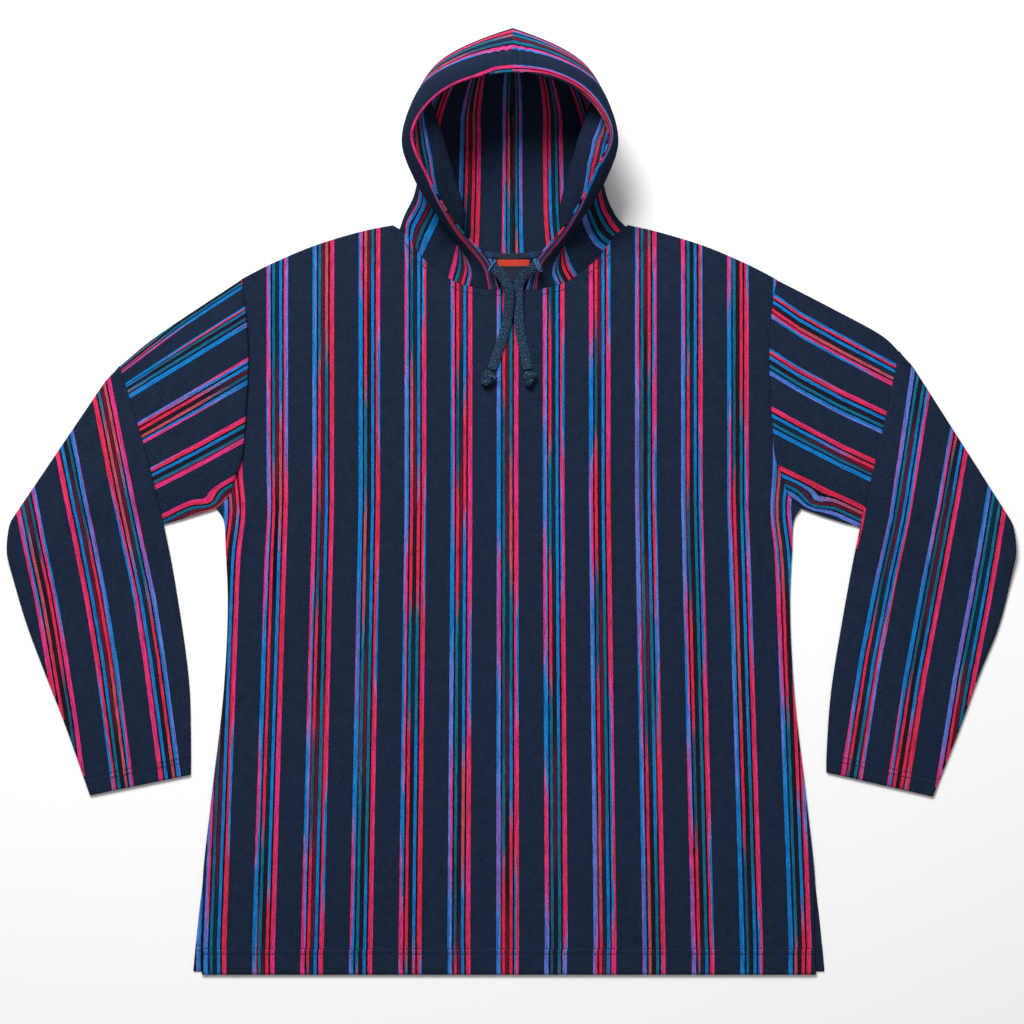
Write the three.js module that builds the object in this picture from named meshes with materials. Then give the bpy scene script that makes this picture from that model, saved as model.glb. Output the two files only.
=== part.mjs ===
import * as THREE from 'three';

// A wide striped hoodie laid on its back on a flat surface: front over back, each sleeve folded over at the
// elbow so that its lower half lies on the upper half, and the hood open and standing up like a bowl.
// Millimetres. X runs across the chest, Y from the hem to the hood and Z up from the surface.

// Cloth and seams
const CLOTH = 1.5;
const SEAM_GAP = 0.3;
const NECK_GAP = 0.6;
const LAYER_GAP = 0.5;
const FRONT_BASE = CLOTH + LAYER_GAP;
const FLAT_TUBE = FRONT_BASE + CLOTH;

// Places of the centre lines across the chest, and of the whole garment along Y
const BODY_CENTRE = -3.3;
const NECK_CENTRE = -1.6;
const HOOD_CENTRE = 0.7;
const GARMENT_SHIFT_UP = 3.2;

// Half outline of the front below the armhole: distance out from the body's centre line, and height
const FRONT_SIDE = [
  { out: 321.3, up: -496 },
  { out: 320, up: -430 },
  { out: 320.5, up: -397 },
  { out: 311.7, up: -313 },
  { out: 299, up: -203 },
  { out: 294.3, up: -110 },
  { out: 296.4, up: -53 },
  { out: 299, up: -18 },
  { out: 306, up: -7.2 },
];
// The back shows beyond the front in the side vents
const VENT_TOP_ROW = 2;
const BACK_SIDE = [
  { out: 330.5, up: -492.6 },
  { out: 326, up: -445 },
  ...FRONT_SIDE.slice(VENT_TOP_ROW),
];
const ARMHOLE = [
  { out: 306, up: -7.2 },
  { out: 294, up: 6 },
  { out: 287, up: 26 },
  { out: 280.5, up: 45 },
  { out: 277.5, up: 75 },
  { out: 275, up: 115 },
  { out: 273.8, up: 155 },
  { out: 275.5, up: 190 },
  { out: 280.9, up: 232.5 },
];
// Shoulder seam from the tip of the shoulder to the neck, in distance from the body's centre line
const SHOULDER = [
  { out: 280.9, up: 232.5 },
  { out: 253, up: 247 },
  { out: 205, up: 267.5 },
  { out: 152, up: 283.4 },
  { out: 121.9, up: 289.3 },
];
// Necklines, in distance from the neck's centre line
const FRONT_NECK = [
  { out: 0, up: 222 },
  { out: 30, up: 223 },
  { out: 57, up: 229.6 },
  { out: 80, up: 245 },
  { out: 95, up: 259 },
  { out: 109, up: 279 },
  { out: 123.4, up: 289.3 },
];
const BACK_NECK = [
  { out: 0, up: 256.7 },
  { out: 60, up: 263.5 },
  { out: 100, up: 277 },
  { out: 123.4, up: 289.3 },
];

// Number of cells along each edge of the body panels
const SIDE_ROWS = 8;
const ARMHOLE_ROWS = 9;
const SHOULDER_COLUMNS = 4;
const NECK_COLUMNS = 18;

// Sleeves: top is the folded edge that continues the shoulder, under is the seam edge
const SLEEVES = {
  left: {
    side: -1,
    foldTop: { x: -409, y: 139.5 },
    foldUnder: { x: -526, y: -43 },
    upperTop: [{ x: -363.5, y: 180.1 }, { x: -384.3, y: 165 }],
    upperUnder: [{ x: -332.1, y: -14.2 }, { x: -365.4, y: -23.6 }, { x: -440, y: -38 }],
    lowerTop: [
      { x: -386.1, y: 60.4 },
      { x: -365.2, y: -23.6 },
      { x: -350.1, y: -106 },
      { x: -338.8, y: -190.6 },
      { x: -337, y: -246.2 },
      { x: -337, y: -286.1 },
    ],
    lowerUnder: [
      { x: -509.5, y: -121.3 },
      { x: -487.2, y: -179 },
      { x: -466.2, y: -233.6 },
      { x: -442.6, y: -307.7 },
    ],
  },
  right: {
    side: 1,
    foldTop: { x: 403, y: 155.5 },
    foldUnder: { x: 525.5, y: -44 },
    upperTop: [{ x: 332.9, y: 204.2 }, { x: 391.1, y: 172 }],
    upperUnder: [{ x: 328.7, y: -16.3 }, { x: 364.1, y: -26.5 }, { x: 440, y: -40 }],
    lowerTop: [
      { x: 391.1, y: 87.7 },
      { x: 376.6, y: 25.7 },
      { x: 364.9, y: -26.4 },
      { x: 346.3, y: -126.5 },
      { x: 334.5, y: -202.1 },
      { x: 330.2, y: -262 },
      { x: 329.7, y: -283.5 },
    ],
    lowerUnder: [
      { x: 512.4, y: -126.5 },
      { x: 491, y: -180.6 },
      { x: 471.5, y: -234.2 },
      { x: 442.1, y: -309.2 },
    ],
  },
};
const UPPER_SLEEVE_STEPS = 5;
const FOLD_STEPS = 5;
const LOWER_SLEEVE_STEPS = 7;
// The fold turns about a line halfway between the two layers that touch
const FOLD_AXIS_UP = FLAT_TUBE + LAYER_GAP / 2;
// Past the upper half's lower edge, the lower half comes down to the surface between these two distances
const COMING_DOWN = { from: 55, to: 100, drop: FLAT_TUBE + LAYER_GAP };

// Hood: ribs run parallel to the opening edge, from the neck seam over the crown. Each rib has its distance
// from the opening edge along the cloth, and a row for each station: distance out from the hood's centre
// line, height along Y and height above the surface.
const HOOD_RIBS = [
  {
    name: 'opening edge', cloth: 0,
    stations: [
      { out: 24.5, up: 250.5, high: 18 },
      { out: 57.8, up: 288, high: 42 },
      { out: 88, up: 335, high: 76 },
      { out: 105.4, up: 378, high: 98 },
      { out: 74.5, up: 416, high: 108 },
      { out: 0, up: 439, high: 112 },
    ],
  },
  {
    name: 'casing line', cloth: 21,
    stations: [
      { out: 42, up: 243, high: 9 },
      { out: 63, up: 281, high: 26 },
      { out: 99.5, up: 331, high: 62 },
      { out: 112, up: 373, high: 84 },
      { out: 91, up: 427, high: 100 },
      { out: 0, up: 461.6, high: 103 },
    ],
  },
  {
    name: 'inward fold', cloth: 60,
    stations: [
      { out: 85, up: 262, high: 12 },
      { out: 87, up: 292, high: 22 },
      { out: 89, up: 330, high: 42 },
      { out: 71, up: 374, high: 64 },
      { out: 79, up: 447, high: 75 },
      { out: 0, up: 487, high: 75 },
    ],
  },
  {
    name: 'lower side', cloth: 100,
    stations: [
      { out: 112, up: 298, high: 6 },
      { out: 105, up: 318, high: 12 },
      { out: 101, up: 348, high: 22 },
      { out: 100, up: 388, high: 34 },
      { out: 77, up: 444, high: 38 },
      { out: 0, up: 487, high: 45 },
    ],
  },
  {
    name: 'side of the back', cloth: 142,
    stations: [
      { out: 79, up: 300, high: 1.2 },
      { out: 77, up: 335, high: 3 },
      { out: 75, up: 370, high: 5 },
      { out: 71, up: 405, high: 8 },
      { out: 49, up: 452, high: 14 },
      { out: 0, up: 483, high: 22 },
    ],
  },
  {
    name: 'back', cloth: 184,
    stations: [
      { out: 38, up: 295, high: 0.8 },
      { out: 37, up: 335, high: 0.8 },
      { out: 36.5, up: 375, high: 1.2 },
      { out: 36, up: 415, high: 1.6 },
      { out: 27, up: 456, high: 4 },
      { out: 0, up: 477, high: 8 },
    ],
  },
  {
    name: 'back seam', cloth: 226,
    stations: [
      { out: 0, up: 292, high: 0.75 },
      { out: 0, up: 332, high: 0.75 },
      { out: 0, up: 372, high: 0.75 },
      { out: 0, up: 412, high: 0.75 },
      { out: 0, up: 446, high: 0.75 },
      { out: 0, up: 470, high: 1.5 },
    ],
  },
];
// Where each length of the hood's lower edge meets the neck seam, before and behind the hairpin at the shoulder
const HOOD_NECK_FRONT = [
  { cloth: 0, out: 13.5 },
  { cloth: 21, out: 44.5 },
  { cloth: 45, out: 68.5 },
  { cloth: 69, out: 94.5 },
  { cloth: 92, out: 112 },
  { cloth: 96, out: 117 },
];
const HOOD_NECK_BACK = [
  { cloth: 104, out: 117 },
  { cloth: 142, out: 80 },
  { cloth: 184, out: 40 },
  { cloth: 226, out: 0 },
];
const HOOD_COLUMNS = [0, 5, 10, 15, 21, 33, 45, 57, 69, 78, 85, 89, 92, 96, 98, 100, 102, 104, 116, 130, 145, 165, 184, 205, 226];
const HAIRPIN = { from: 96, to: 104, radius: 1 };
const HOOD_ROWS = 12;
const HOOD_SPREAD = { left: 1.02, right: 0.99 };
// The casing is a soft roll with the cord's hidden run inside it
const CASING_WIDTH = 21;
const CASING_THICKNESS = 6;
const CASING_START_ROWS = 3;

// Trim at the back of the neck
const TAPE = { halfLength: 56, width: 6, thickness: 1, steps: 14 };
const LABEL = { width: 33, height: 24, thickness: 1, x: 1.6 };

// Drawcord: a flat braid, each end with a knot
const CORD = { width: 11, thickness: 6, sides: 10, steps: 16 };
const DRAWCORDS = {
  left: {
    route: [
      { x: -22.4, y: 246.6, z: 20.4 },
      { x: -17, y: 242.5, z: 20.4 },
      { x: -9.5, y: 234, z: 18.4 },
      { x: -4, y: 224, z: 16.6 },
      { x: -3, y: 211.5, z: 13.6 },
      { x: -4.6, y: 193.5, z: 8 },
      { x: -9.2, y: 172.7, z: 6.9 },
      { x: -15.8, y: 153.3, z: 6.9 },
      { x: -20.5, y: 138.4, z: 6.9 },
    ],
    knot: { x: -24.5, y: 129.3, z: 10.4, along: 19.5, across: 17.5, up: 13, turn: 0.35 },
  },
  right: {
    route: [
      { x: 28.6, y: 247, z: 24.5 },
      { x: 21.5, y: 243.3, z: 19.6 },
      { x: 12.6, y: 236.2, z: 11 },
      { x: 7.2, y: 227, z: 7.2 },
      { x: 6.6, y: 216, z: 6.9 },
      { x: 6.9, y: 205, z: 6.9 },
      { x: 7.3, y: 192.7, z: 6.9 },
      { x: 9.2, y: 174.8, z: 6.9 },
      { x: 13.6, y: 154.9, z: 6.9 },
      { x: 16.8, y: 138.4, z: 6.9 },
    ],
    knot: { x: 18.3, y: 129, z: 10.2, along: 18.6, across: 15.2, up: 12.6, turn: -0.1 },
  },
};

// Colours of the cloth's ground and of the trim
const NAVY = 0x19253a;
const TAPE_BLACK = 0x141a26;
const LABEL_GROUND = 0x1c2b33;
const CORD_TEAL = 0x2a4a58;

const fabric = (color, roughness = 0.95) => new THREE.MeshStandardMaterial({ color, roughness, metalness: 0 });

const point = (row, centre = 0, side = 1) => new THREE.Vector3(centre + side * row.out, row.up, 0);

const smoothCurve = (points) => new THREE.CatmullRomCurve3(points, false, 'centripetal');

const spaced = (points, cells) => smoothCurve(points).getSpacedPoints(cells);

// Half of a neckline, from its centre out to the shoulder
const halfNeckline = (rows) => spaced(rows.map((row) => point(row)), NECK_COLUMNS / 2);

// Height of a neckline at a place across it
function necklineAt(rows, x) {
  const curve = halfNeckline(rows);
  const out = Math.min(Math.abs(x - NECK_CENTRE), rows.at(-1).out);
  const found = curve.findIndex((p) => p.x >= out);
  const next = found < 0 ? curve.length - 1 : Math.max(1, found);
  const [a, b] = [curve[next - 1], curve[next]];
  return THREE.MathUtils.mapLinear(out, a.x, b.x, a.y, b.y);
}

const interpolate = (rows, key, at, value) => {
  const next = Math.max(1, rows.findIndex((row) => row[key] >= at));
  const [a, b] = [rows[next - 1], rows[next]];
  return THREE.MathUtils.mapLinear(at, a[key], b[key], a[value], b[value]);
};

// A patch filled in between four edges that meet at its corners: start and end run along the columns,
// first and last along the rows
function patch(start, end, first, last) {
  return (row, column, v, u) => {
    const p = new THREE.Vector3();
    p.addScaledVector(start(column, u), 1 - v).addScaledVector(end(column, u), v);
    p.addScaledVector(first(row, v), 1 - u).addScaledVector(last(row, v), u);
    p.addScaledVector(start(0, 0), -(1 - u) * (1 - v)).addScaledVector(start(-1, 1), -u * (1 - v));
    p.addScaledVector(end(0, 0), -(1 - u) * v).addScaledVector(end(-1, 1), -u * v);
    return p;
  };
}

// A closed wall between an outer and an inner grid of points. A loop joins its last column to its first.
function wall(outer, inner, loop = false) {
  const rows = outer.length;
  const columns = outer[0].length;
  const points = [...outer.flat(), ...inner.flat()];
  const index = (row, column, layer) => layer * rows * columns + row * columns + (column % columns);
  const faces = [];
  const quad = (a, b, c, d) => faces.push(a, b, c, a, c, d);
  const columnCells = loop ? columns : columns - 1;
  for (let i = 0; i < rows - 1; i++) {
    for (let j = 0; j < columnCells; j++) {
      quad(index(i, j, 0), index(i, j + 1, 0), index(i + 1, j + 1, 0), index(i + 1, j, 0));
      quad(index(i, j, 1), index(i + 1, j, 1), index(i + 1, j + 1, 1), index(i, j + 1, 1));
    }
  }
  for (let j = 0; j < columnCells; j++) {
    quad(index(0, j, 1), index(0, j + 1, 1), index(0, j + 1, 0), index(0, j, 0));
    const last = rows - 1;
    quad(index(last, j, 0), index(last, j + 1, 0), index(last, j + 1, 1), index(last, j, 1));
  }
  for (let i = 0; i < rows - 1 && !loop; i++) {
    quad(index(i, 0, 0), index(i + 1, 0, 0), index(i + 1, 0, 1), index(i, 0, 1));
    const last = columns - 1;
    quad(index(i, last, 1), index(i + 1, last, 1), index(i + 1, last, 0), index(i, last, 0));
  }
  return facingOut(points, faces);
}

// A geometry whose faces point out of the solid, whichever way round they were listed
function facingOut(points, faces) {
  let volume = 0;
  for (let k = 0; k < faces.length; k += 3) {
    const [a, b, c] = [points[faces[k]], points[faces[k + 1]], points[faces[k + 2]]];
    volume += a.dot(b.clone().cross(c));
  }
  const geometry = new THREE.BufferGeometry().setFromPoints(points);
  geometry.setIndex(volume < 0 ? faces.slice().reverse() : faces);
  geometry.computeVertexNormals();
  return geometry;
}

const garment = new THREE.Group();
garment.position.y = GARMENT_SHIFT_UP;

function addPiece(name, geometry, material) {
  const mesh = new THREE.Mesh(geometry, material);
  mesh.name = name;
  garment.add(mesh);
}

// Edge from the hem corner up to the tip of the shoulder
function sideEdge(sideRows, side) {
  const seam = spaced(sideRows.map((row) => point(row, BODY_CENTRE, side)), SIDE_ROWS);
  const armhole = spaced(ARMHOLE.map((row) => point(row, BODY_CENTRE, side)), ARMHOLE_ROWS);
  return [...seam, ...armhole.slice(1)];
}

// Edge from the left shoulder tip along the shoulder, the neckline and the other shoulder
function topEdge(neck) {
  const shoulder = (side) => {
    const points = SHOULDER.map((row) => point(row, BODY_CENTRE, side));
    points[points.length - 1].x = NECK_CENTRE + side * neck.at(-1).out;
    return spaced(points, SHOULDER_COLUMNS);
  };
  const half = halfNeckline(neck).slice(0, -1);
  const onSide = (side) => half.map((p) => new THREE.Vector3(NECK_CENTRE + side * p.x, p.y, 0));
  return [...shoulder(-1), ...onSide(-1).reverse(), ...onSide(1).slice(1), ...shoulder(1).reverse()];
}

function bodyPanel(sideRows, neck, base) {
  const left = sideEdge(sideRows, -1);
  const right = sideEdge(sideRows, 1);
  const top = topEdge(neck);
  const across = top.map((p) => (p.x - top[0].x) / (top.at(-1).x - top[0].x));
  const upward = left.map((p) => (p.y - left[0].y) / (left.at(-1).y - left[0].y));
  const hem = across.map((u) => left[0].clone().lerp(right[0], u));
  const surface = patch((j) => hem.at(j), (j) => top.at(j), (i) => left[i], (i) => right[i]);
  const grid = (up) => upward.map((v, i) => across.map((u, j) => surface(i, j, v, u).setZ(up)));
  return wall(grid(base + CLOTH), grid(base));
}

function sleeve({ side, foldTop, foldUnder, upperTop, upperUnder, lowerTop, lowerUnder }) {
  const flat = ({ x, y }) => new THREE.Vector3(x, y, 0);
  const seam = sideEdge(FRONT_SIDE, side).slice(SIDE_ROWS).reverse();
  seam.forEach((p) => (p.x += side * SEAM_GAP));
  const foldLine = (w) => flat(foldTop).lerp(flat(foldUnder), w);
  const cuff = (w) => flat(lowerTop.at(-1)).lerp(flat(lowerUnder.at(-1)), w);
  const armhole = (w) => {
    const at = Math.min(w * ARMHOLE_ROWS, ARMHOLE_ROWS - 1e-6);
    const cell = Math.floor(at);
    return seam[cell].clone().lerp(seam[cell + 1], at - cell);
  };
  const half = (start, end, startEdge, endEdge, startLine, endLine, steps) => {
    const first = spaced([start, ...startEdge.map(flat)], steps);
    const last = spaced([end, ...endEdge.map(flat)], steps);
    const surface = patch(
      (j, w) => startLine(w), (j, w) => endLine(w), (i) => first[i], (i) => last[i],
    );
    return first.map((_, i) => (w) => surface(i, 0, i / steps, w));
  };
  const upper = half(seam[0], seam.at(-1), [...upperTop, foldTop], [...upperUnder, foldUnder],
    armhole, foldLine, UPPER_SLEEVE_STEPS);
  const lower = half(flat(foldTop), flat(foldUnder), lowerTop, lowerUnder,
    foldLine, cuff, LOWER_SLEEVE_STEPS);

  // One flattened ring of the tube: points across the sleeve and heights in it, for the outer or inner face
  const ring = (across, inset) => {
    const width = across(0).distanceTo(across(1));
    const corner = FLAT_TUBE / 2 / width;
    const places = [corner];
    for (let j = 1; j < ARMHOLE_ROWS; j++) places.push(j / ARMHOLE_ROWS);
    places.push(1 - corner);
    return [
      { w: inset / width, high: FLAT_TUBE / 2 },
      ...places.map((w) => ({ w, high: inset })),
      { w: 1 - inset / width, high: FLAT_TUBE / 2 },
      ...places.slice().reverse().map((w) => ({ w, high: FLAT_TUBE - inset })),
    ];
  };
  const lowerEdge = [...upperUnder, foldUnder].map(({ x, y }) => ({ out: side * x, up: y }));
  const comingDown = (p) => {
    const edge = interpolate(lowerEdge, 'out', Math.min(side * p.x, lowerEdge.at(-1).out), 'up');
    return COMING_DOWN.drop * THREE.MathUtils.smoothstep(edge - p.y, COMING_DOWN.from, COMING_DOWN.to);
  };
  const outward = foldLine(1).sub(foldLine(0)).cross(new THREE.Vector3(0, 0, 1)).normalize();
  if (outward.x * side < 0) outward.negate();
  const skin = (inset) => {
    const rows = upper.map((across) => ring(across, inset).map(({ w, high }) => across(w).setZ(high)));
    for (let k = 1; k < FOLD_STEPS; k++) {
      const turn = (Math.PI * k) / FOLD_STEPS;
      rows.push(ring(foldLine, inset).map(({ w, high }) => {
        const radius = FOLD_AXIS_UP - high;
        const p = foldLine(w).addScaledVector(outward, radius * Math.sin(turn));
        return p.setZ(FOLD_AXIS_UP - radius * Math.cos(turn));
      }));
    }
    lower.forEach((across) => {
      rows.push(ring(across, inset).map(({ w, high }) => {
        const p = across(w);
        return p.setZ(2 * FOLD_AXIS_UP - high - comingDown(p));
      }));
    });
    return rows;
  };
  return wall(skin(0), skin(CLOTH), true);
}

// The hood's lower edge at the neck seam: along the front neck, round a hairpin at the shoulder, and back
// along the back neck
function hoodNeckPoint(cloth, side) {
  const frontMiddle = FRONT_BASE + CLOTH / 2;
  const backMiddle = CLOTH / 2;
  const place = (out, neck, high) => {
    const x = HOOD_CENTRE + side * out;
    return new THREE.Vector3(x, necklineAt(neck, x) + NECK_GAP, high);
  };
  if (cloth <= HAIRPIN.from) return place(interpolate(HOOD_NECK_FRONT, 'cloth', cloth, 'out'), FRONT_NECK, frontMiddle);
  if (cloth >= HAIRPIN.to) return place(interpolate(HOOD_NECK_BACK, 'cloth', cloth, 'out'), BACK_NECK, backMiddle);
  const turn = Math.PI * ((cloth - HAIRPIN.from) / (HAIRPIN.to - HAIRPIN.from));
  const out = HOOD_NECK_BACK[0].out + HAIRPIN.radius * Math.sin(turn);
  const high = (frontMiddle + backMiddle) / 2 + HAIRPIN.radius * Math.cos(turn);
  return place(out, turn < Math.PI / 2 ? FRONT_NECK : BACK_NECK, high);
}

// Half the thickness of the hood's wall: plain cloth, with the casing's soft roll along the opening edge, which
// starts above the neck seam
function hoodHalfThickness(cloth, row) {
  const acrossRoll = cloth < CASING_WIDTH ? Math.sin((Math.PI * cloth) / CASING_WIDTH) : 0;
  const alongRoll = Math.min(1, row / CASING_START_ROWS);
  return (CLOTH + (CASING_THICKNESS - CLOTH) * acrossRoll * alongRoll) / 2;
}

function hoodHalf(side) {
  const spread = side < 0 ? HOOD_SPREAD.left : HOOD_SPREAD.right;
  const ribPoints = (station) => HOOD_RIBS.map((rib) => {
    const { out, up, high } = rib.stations[station];
    return new THREE.Vector3(out * spread, up, high);
  });
  // Each station is a curve across the ribs, read at every column of cloth
  const stationRows = HOOD_RIBS[0].stations.map((_, station) => {
    const curve = new THREE.CatmullRomCurve3(ribPoints(station), false, 'catmullrom');
    return HOOD_COLUMNS.map((cloth) => {
      const next = Math.max(1, HOOD_RIBS.findIndex((rib) => rib.cloth >= cloth));
      const [a, b] = [HOOD_RIBS[next - 1].cloth, HOOD_RIBS[next].cloth];
      const p = curve.getPoint((next - 1 + (cloth - a) / (b - a)) / (HOOD_RIBS.length - 1));
      return new THREE.Vector3(HOOD_CENTRE + side * Math.max(0, p.x), p.y, Math.max(CLOTH / 2, p.z));
    });
  });
  // Each column runs from the neck seam over the crown
  const columns = HOOD_COLUMNS.map((cloth, j) => {
    const points = [hoodNeckPoint(cloth, side), ...stationRows.map((row) => row[j])];
    return spaced(points, HOOD_ROWS);
  });
  const middle = Array.from({ length: HOOD_ROWS + 1 }, (_, i) => columns.map((column) => column[i]));
  const lastRow = HOOD_ROWS;
  const lastColumn = HOOD_COLUMNS.length - 1;
  const edge = HOOD_CENTRE + side * (SEAM_GAP / 2);
  const skin = (sign) => middle.map((row, i) => row.map((p, j) => {
    const alongRow = row[Math.min(j + 1, lastColumn)].clone().sub(row[Math.max(j - 1, 0)]);
    const alongColumn = middle[Math.min(i + 1, lastRow)][j].clone().sub(middle[Math.max(i - 1, 0)][j]);
    if (i === 0) alongColumn.set(0, 1, 0);
    const normal = alongRow.cross(alongColumn).normalize();
    if (j === lastColumn || i === lastRow) normal.setX(0).normalize();
    const offset = p.clone().addScaledVector(normal, sign * side * hoodHalfThickness(HOOD_COLUMNS[j], i));
    offset.x = side < 0 ? Math.min(offset.x, edge) : Math.max(offset.x, edge);
    offset.z = Math.max(offset.z, 0);
    return offset;
  }));
  return wall(skin(1), skin(-1));
}

// A narrow tape over the back neck seam
function neckTape() {
  const base = CLOTH + SEAM_GAP;
  const grid = (up) => [-0.5, 0.5].map((v) => Array.from({ length: TAPE.steps + 1 }, (_, j) => {
    const x = NECK_CENTRE - TAPE.halfLength + (2 * TAPE.halfLength * j) / TAPE.steps;
    return new THREE.Vector3(x, necklineAt(BACK_NECK, x) + v * TAPE.width, up);
  }));
  return wall(grid(base + TAPE.thickness), grid(base));
}

function label() {
  const top = BACK_NECK[0].up - TAPE.width / 2 - SEAM_GAP;
  const geometry = new THREE.BoxGeometry(LABEL.width, LABEL.height, LABEL.thickness);
  return geometry.translate(LABEL.x, top - LABEL.height / 2, CLOTH + SEAM_GAP + LABEL.thickness / 2);
}

// A flat braid along its route, laid with its width across the route and level with the surface
function drawcord({ route }) {
  const curve = smoothCurve(route.map(({ x, y, z }) => new THREE.Vector3(x, y, z)));
  const points = curve.getSpacedPoints(CORD.steps);
  const rows = points.map((p, i) => {
    const along = points[Math.min(i + 1, CORD.steps)].clone().sub(points[Math.max(i - 1, 0)]).normalize();
    const across = new THREE.Vector3(along.y, -along.x, 0).normalize();
    const up = across.clone().cross(along).normalize();
    return Array.from({ length: CORD.sides }, (_, k) => {
      const turn = (2 * Math.PI * k) / CORD.sides;
      return p.clone()
        .addScaledVector(across, (CORD.width / 2) * Math.cos(turn))
        .addScaledVector(up, (CORD.thickness / 2) * Math.sin(turn));
    });
  });
  const faces = [];
  for (let i = 0; i < CORD.steps; i++) {
    for (let k = 0; k < CORD.sides; k++) {
      const [a, b] = [i * CORD.sides + k, i * CORD.sides + ((k + 1) % CORD.sides)];
      faces.push(a, b, b + CORD.sides, a, b + CORD.sides, a + CORD.sides);
    }
  }
  const last = CORD.steps * CORD.sides;
  for (let k = 1; k < CORD.sides - 1; k++) {
    faces.push(0, k + 1, k, last, last + k, last + k + 1);
  }
  return facingOut(rows.flat(), faces);
}

function knot({ x, y, z, along, across, up, turn }) {
  const outline = new THREE.SphereGeometry(0.5, 12, 8);
  return outline.scale(across, along, up).rotateZ(-turn).translate(x, y, z);
}

addPiece('body_back', bodyPanel(BACK_SIDE, BACK_NECK, 0), fabric(NAVY));
addPiece('body_front', bodyPanel(FRONT_SIDE, FRONT_NECK, FRONT_BASE), fabric(NAVY));
addPiece('sleeve_left', sleeve(SLEEVES.left), fabric(NAVY));
addPiece('sleeve_right', sleeve(SLEEVES.right), fabric(NAVY));
addPiece('hood_left', hoodHalf(-1), fabric(NAVY));
addPiece('hood_right', hoodHalf(1), fabric(NAVY));
addPiece('neck_tape', neckTape(), fabric(TAPE_BLACK));
addPiece('label', label(), fabric(LABEL_GROUND, 0.8));
for (const [name, cord] of Object.entries(DRAWCORDS)) {
  addPiece(`drawcord_${name}`, drawcord(cord), fabric(CORD_TEAL));
  addPiece(`knot_${name}`, knot(cord.knot), fabric(CORD_TEAL));
}

export default garment;
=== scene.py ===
import math

import bpy
import numpy as np
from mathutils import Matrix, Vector
from mathutils.bvhtree import BVHTree


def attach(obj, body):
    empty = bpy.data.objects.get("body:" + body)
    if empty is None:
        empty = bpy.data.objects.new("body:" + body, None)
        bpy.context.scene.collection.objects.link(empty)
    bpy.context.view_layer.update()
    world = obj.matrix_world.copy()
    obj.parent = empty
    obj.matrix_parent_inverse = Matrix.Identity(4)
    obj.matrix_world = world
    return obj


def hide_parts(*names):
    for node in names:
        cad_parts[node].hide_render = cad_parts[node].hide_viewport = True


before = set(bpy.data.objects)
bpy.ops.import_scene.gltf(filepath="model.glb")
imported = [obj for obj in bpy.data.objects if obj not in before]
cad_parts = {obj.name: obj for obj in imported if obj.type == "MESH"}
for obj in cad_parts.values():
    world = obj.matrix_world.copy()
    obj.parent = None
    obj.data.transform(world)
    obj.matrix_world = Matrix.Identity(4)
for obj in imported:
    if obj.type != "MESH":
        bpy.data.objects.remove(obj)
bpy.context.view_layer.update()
scene = bpy.context.scene

# Camera
# Straight above the garment, 4 m over the surface that it lies on, as the photo was taken.
CAMERA_HEIGHT = 4.0
PHOTO_WIDTH = 1.0752
PHOTO_CENTRE = (0, -0.0078)
SENSOR_WIDTH = 36

camera_data = bpy.data.cameras.new("camera")
camera_data.sensor_width = SENSOR_WIDTH
camera_data.lens = SENSOR_WIDTH * CAMERA_HEIGHT / PHOTO_WIDTH
camera = bpy.data.objects.new("camera", camera_data)
camera.location = (*PHOTO_CENTRE, CAMERA_HEIGHT)
scene.collection.objects.link(camera)
scene.camera = camera
scene.view_settings.view_transform = "Standard"

# Drawcord ends
# One flat cord of braided cotton runs hidden through the hood's casing. Its two ends come out of eyelets
# and lie on the chest, the left one over the right. Routes and sizes are in millimetres in the part's own
# place, which is SHIFT_UP lower than the frame's.
SHIFT_UP = 3.2
CORD_WIDTH = 11
CORD_THICKNESS = 4.6
CORD_STEP = 0.5
CORD_SIDES = 44
CORD_SQUARENESS = 0.8
PLAIT_AROUND = 8
PLAIT_LENGTH = 4.4
PLAIT_DEPTH = 0.42
DRAWCORDS = {
    "left": [
        (-22.4, 246.6, 20.4), (-17, 242.5, 20.4), (-9.5, 234, 18.4), (-4, 224, 16.6), (-3, 211.5, 13.6),
        (-4.6, 193.5, 8), (-9.2, 172.7, 6.9), (-15.8, 153.3, 6.9), (-20.5, 138.4, 6.9),
    ],
    "right": [
        (28.6, 247, 24.5), (21.5, 243.3, 19.6), (12.6, 236.2, 11), (7.2, 227, 7.2), (6.6, 216, 6.9),
        (6.9, 205, 6.9), (7.3, 192.7, 6.9), (9.2, 174.8, 6.9), (13.6, 154.9, 6.9), (16.8, 138.4, 6.9),
    ],
}
CORD_DARK = (8, 18, 31)
CORD_MID = (30, 52, 76)
# The yarn's real fleck colour, also used as the painted highlight on the plait tops
CORD_FLECK_AND_HIGHLIGHT = (76, 106, 130)
CURVE_STEPS = 24


def metres(points):
    """The part's millimetres as metres in the frame."""
    return (np.asarray(points, float) + (0, SHIFT_UP, 0)) * 0.001


def linear(colour):
    """A colour of 0 to 255 a channel as the light values that shaders take."""
    share = np.asarray(colour, float) / 255
    return tuple(np.where(share <= 0.04045, share / 12.92, ((share + 0.055) / 1.055) ** 2.4)) + (1.0,)


def smooth_step(value, low, high):
    share = np.clip((np.asarray(value, float) - low) / (high - low), 0, 1)
    return share * share * (3 - 2 * share)


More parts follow.
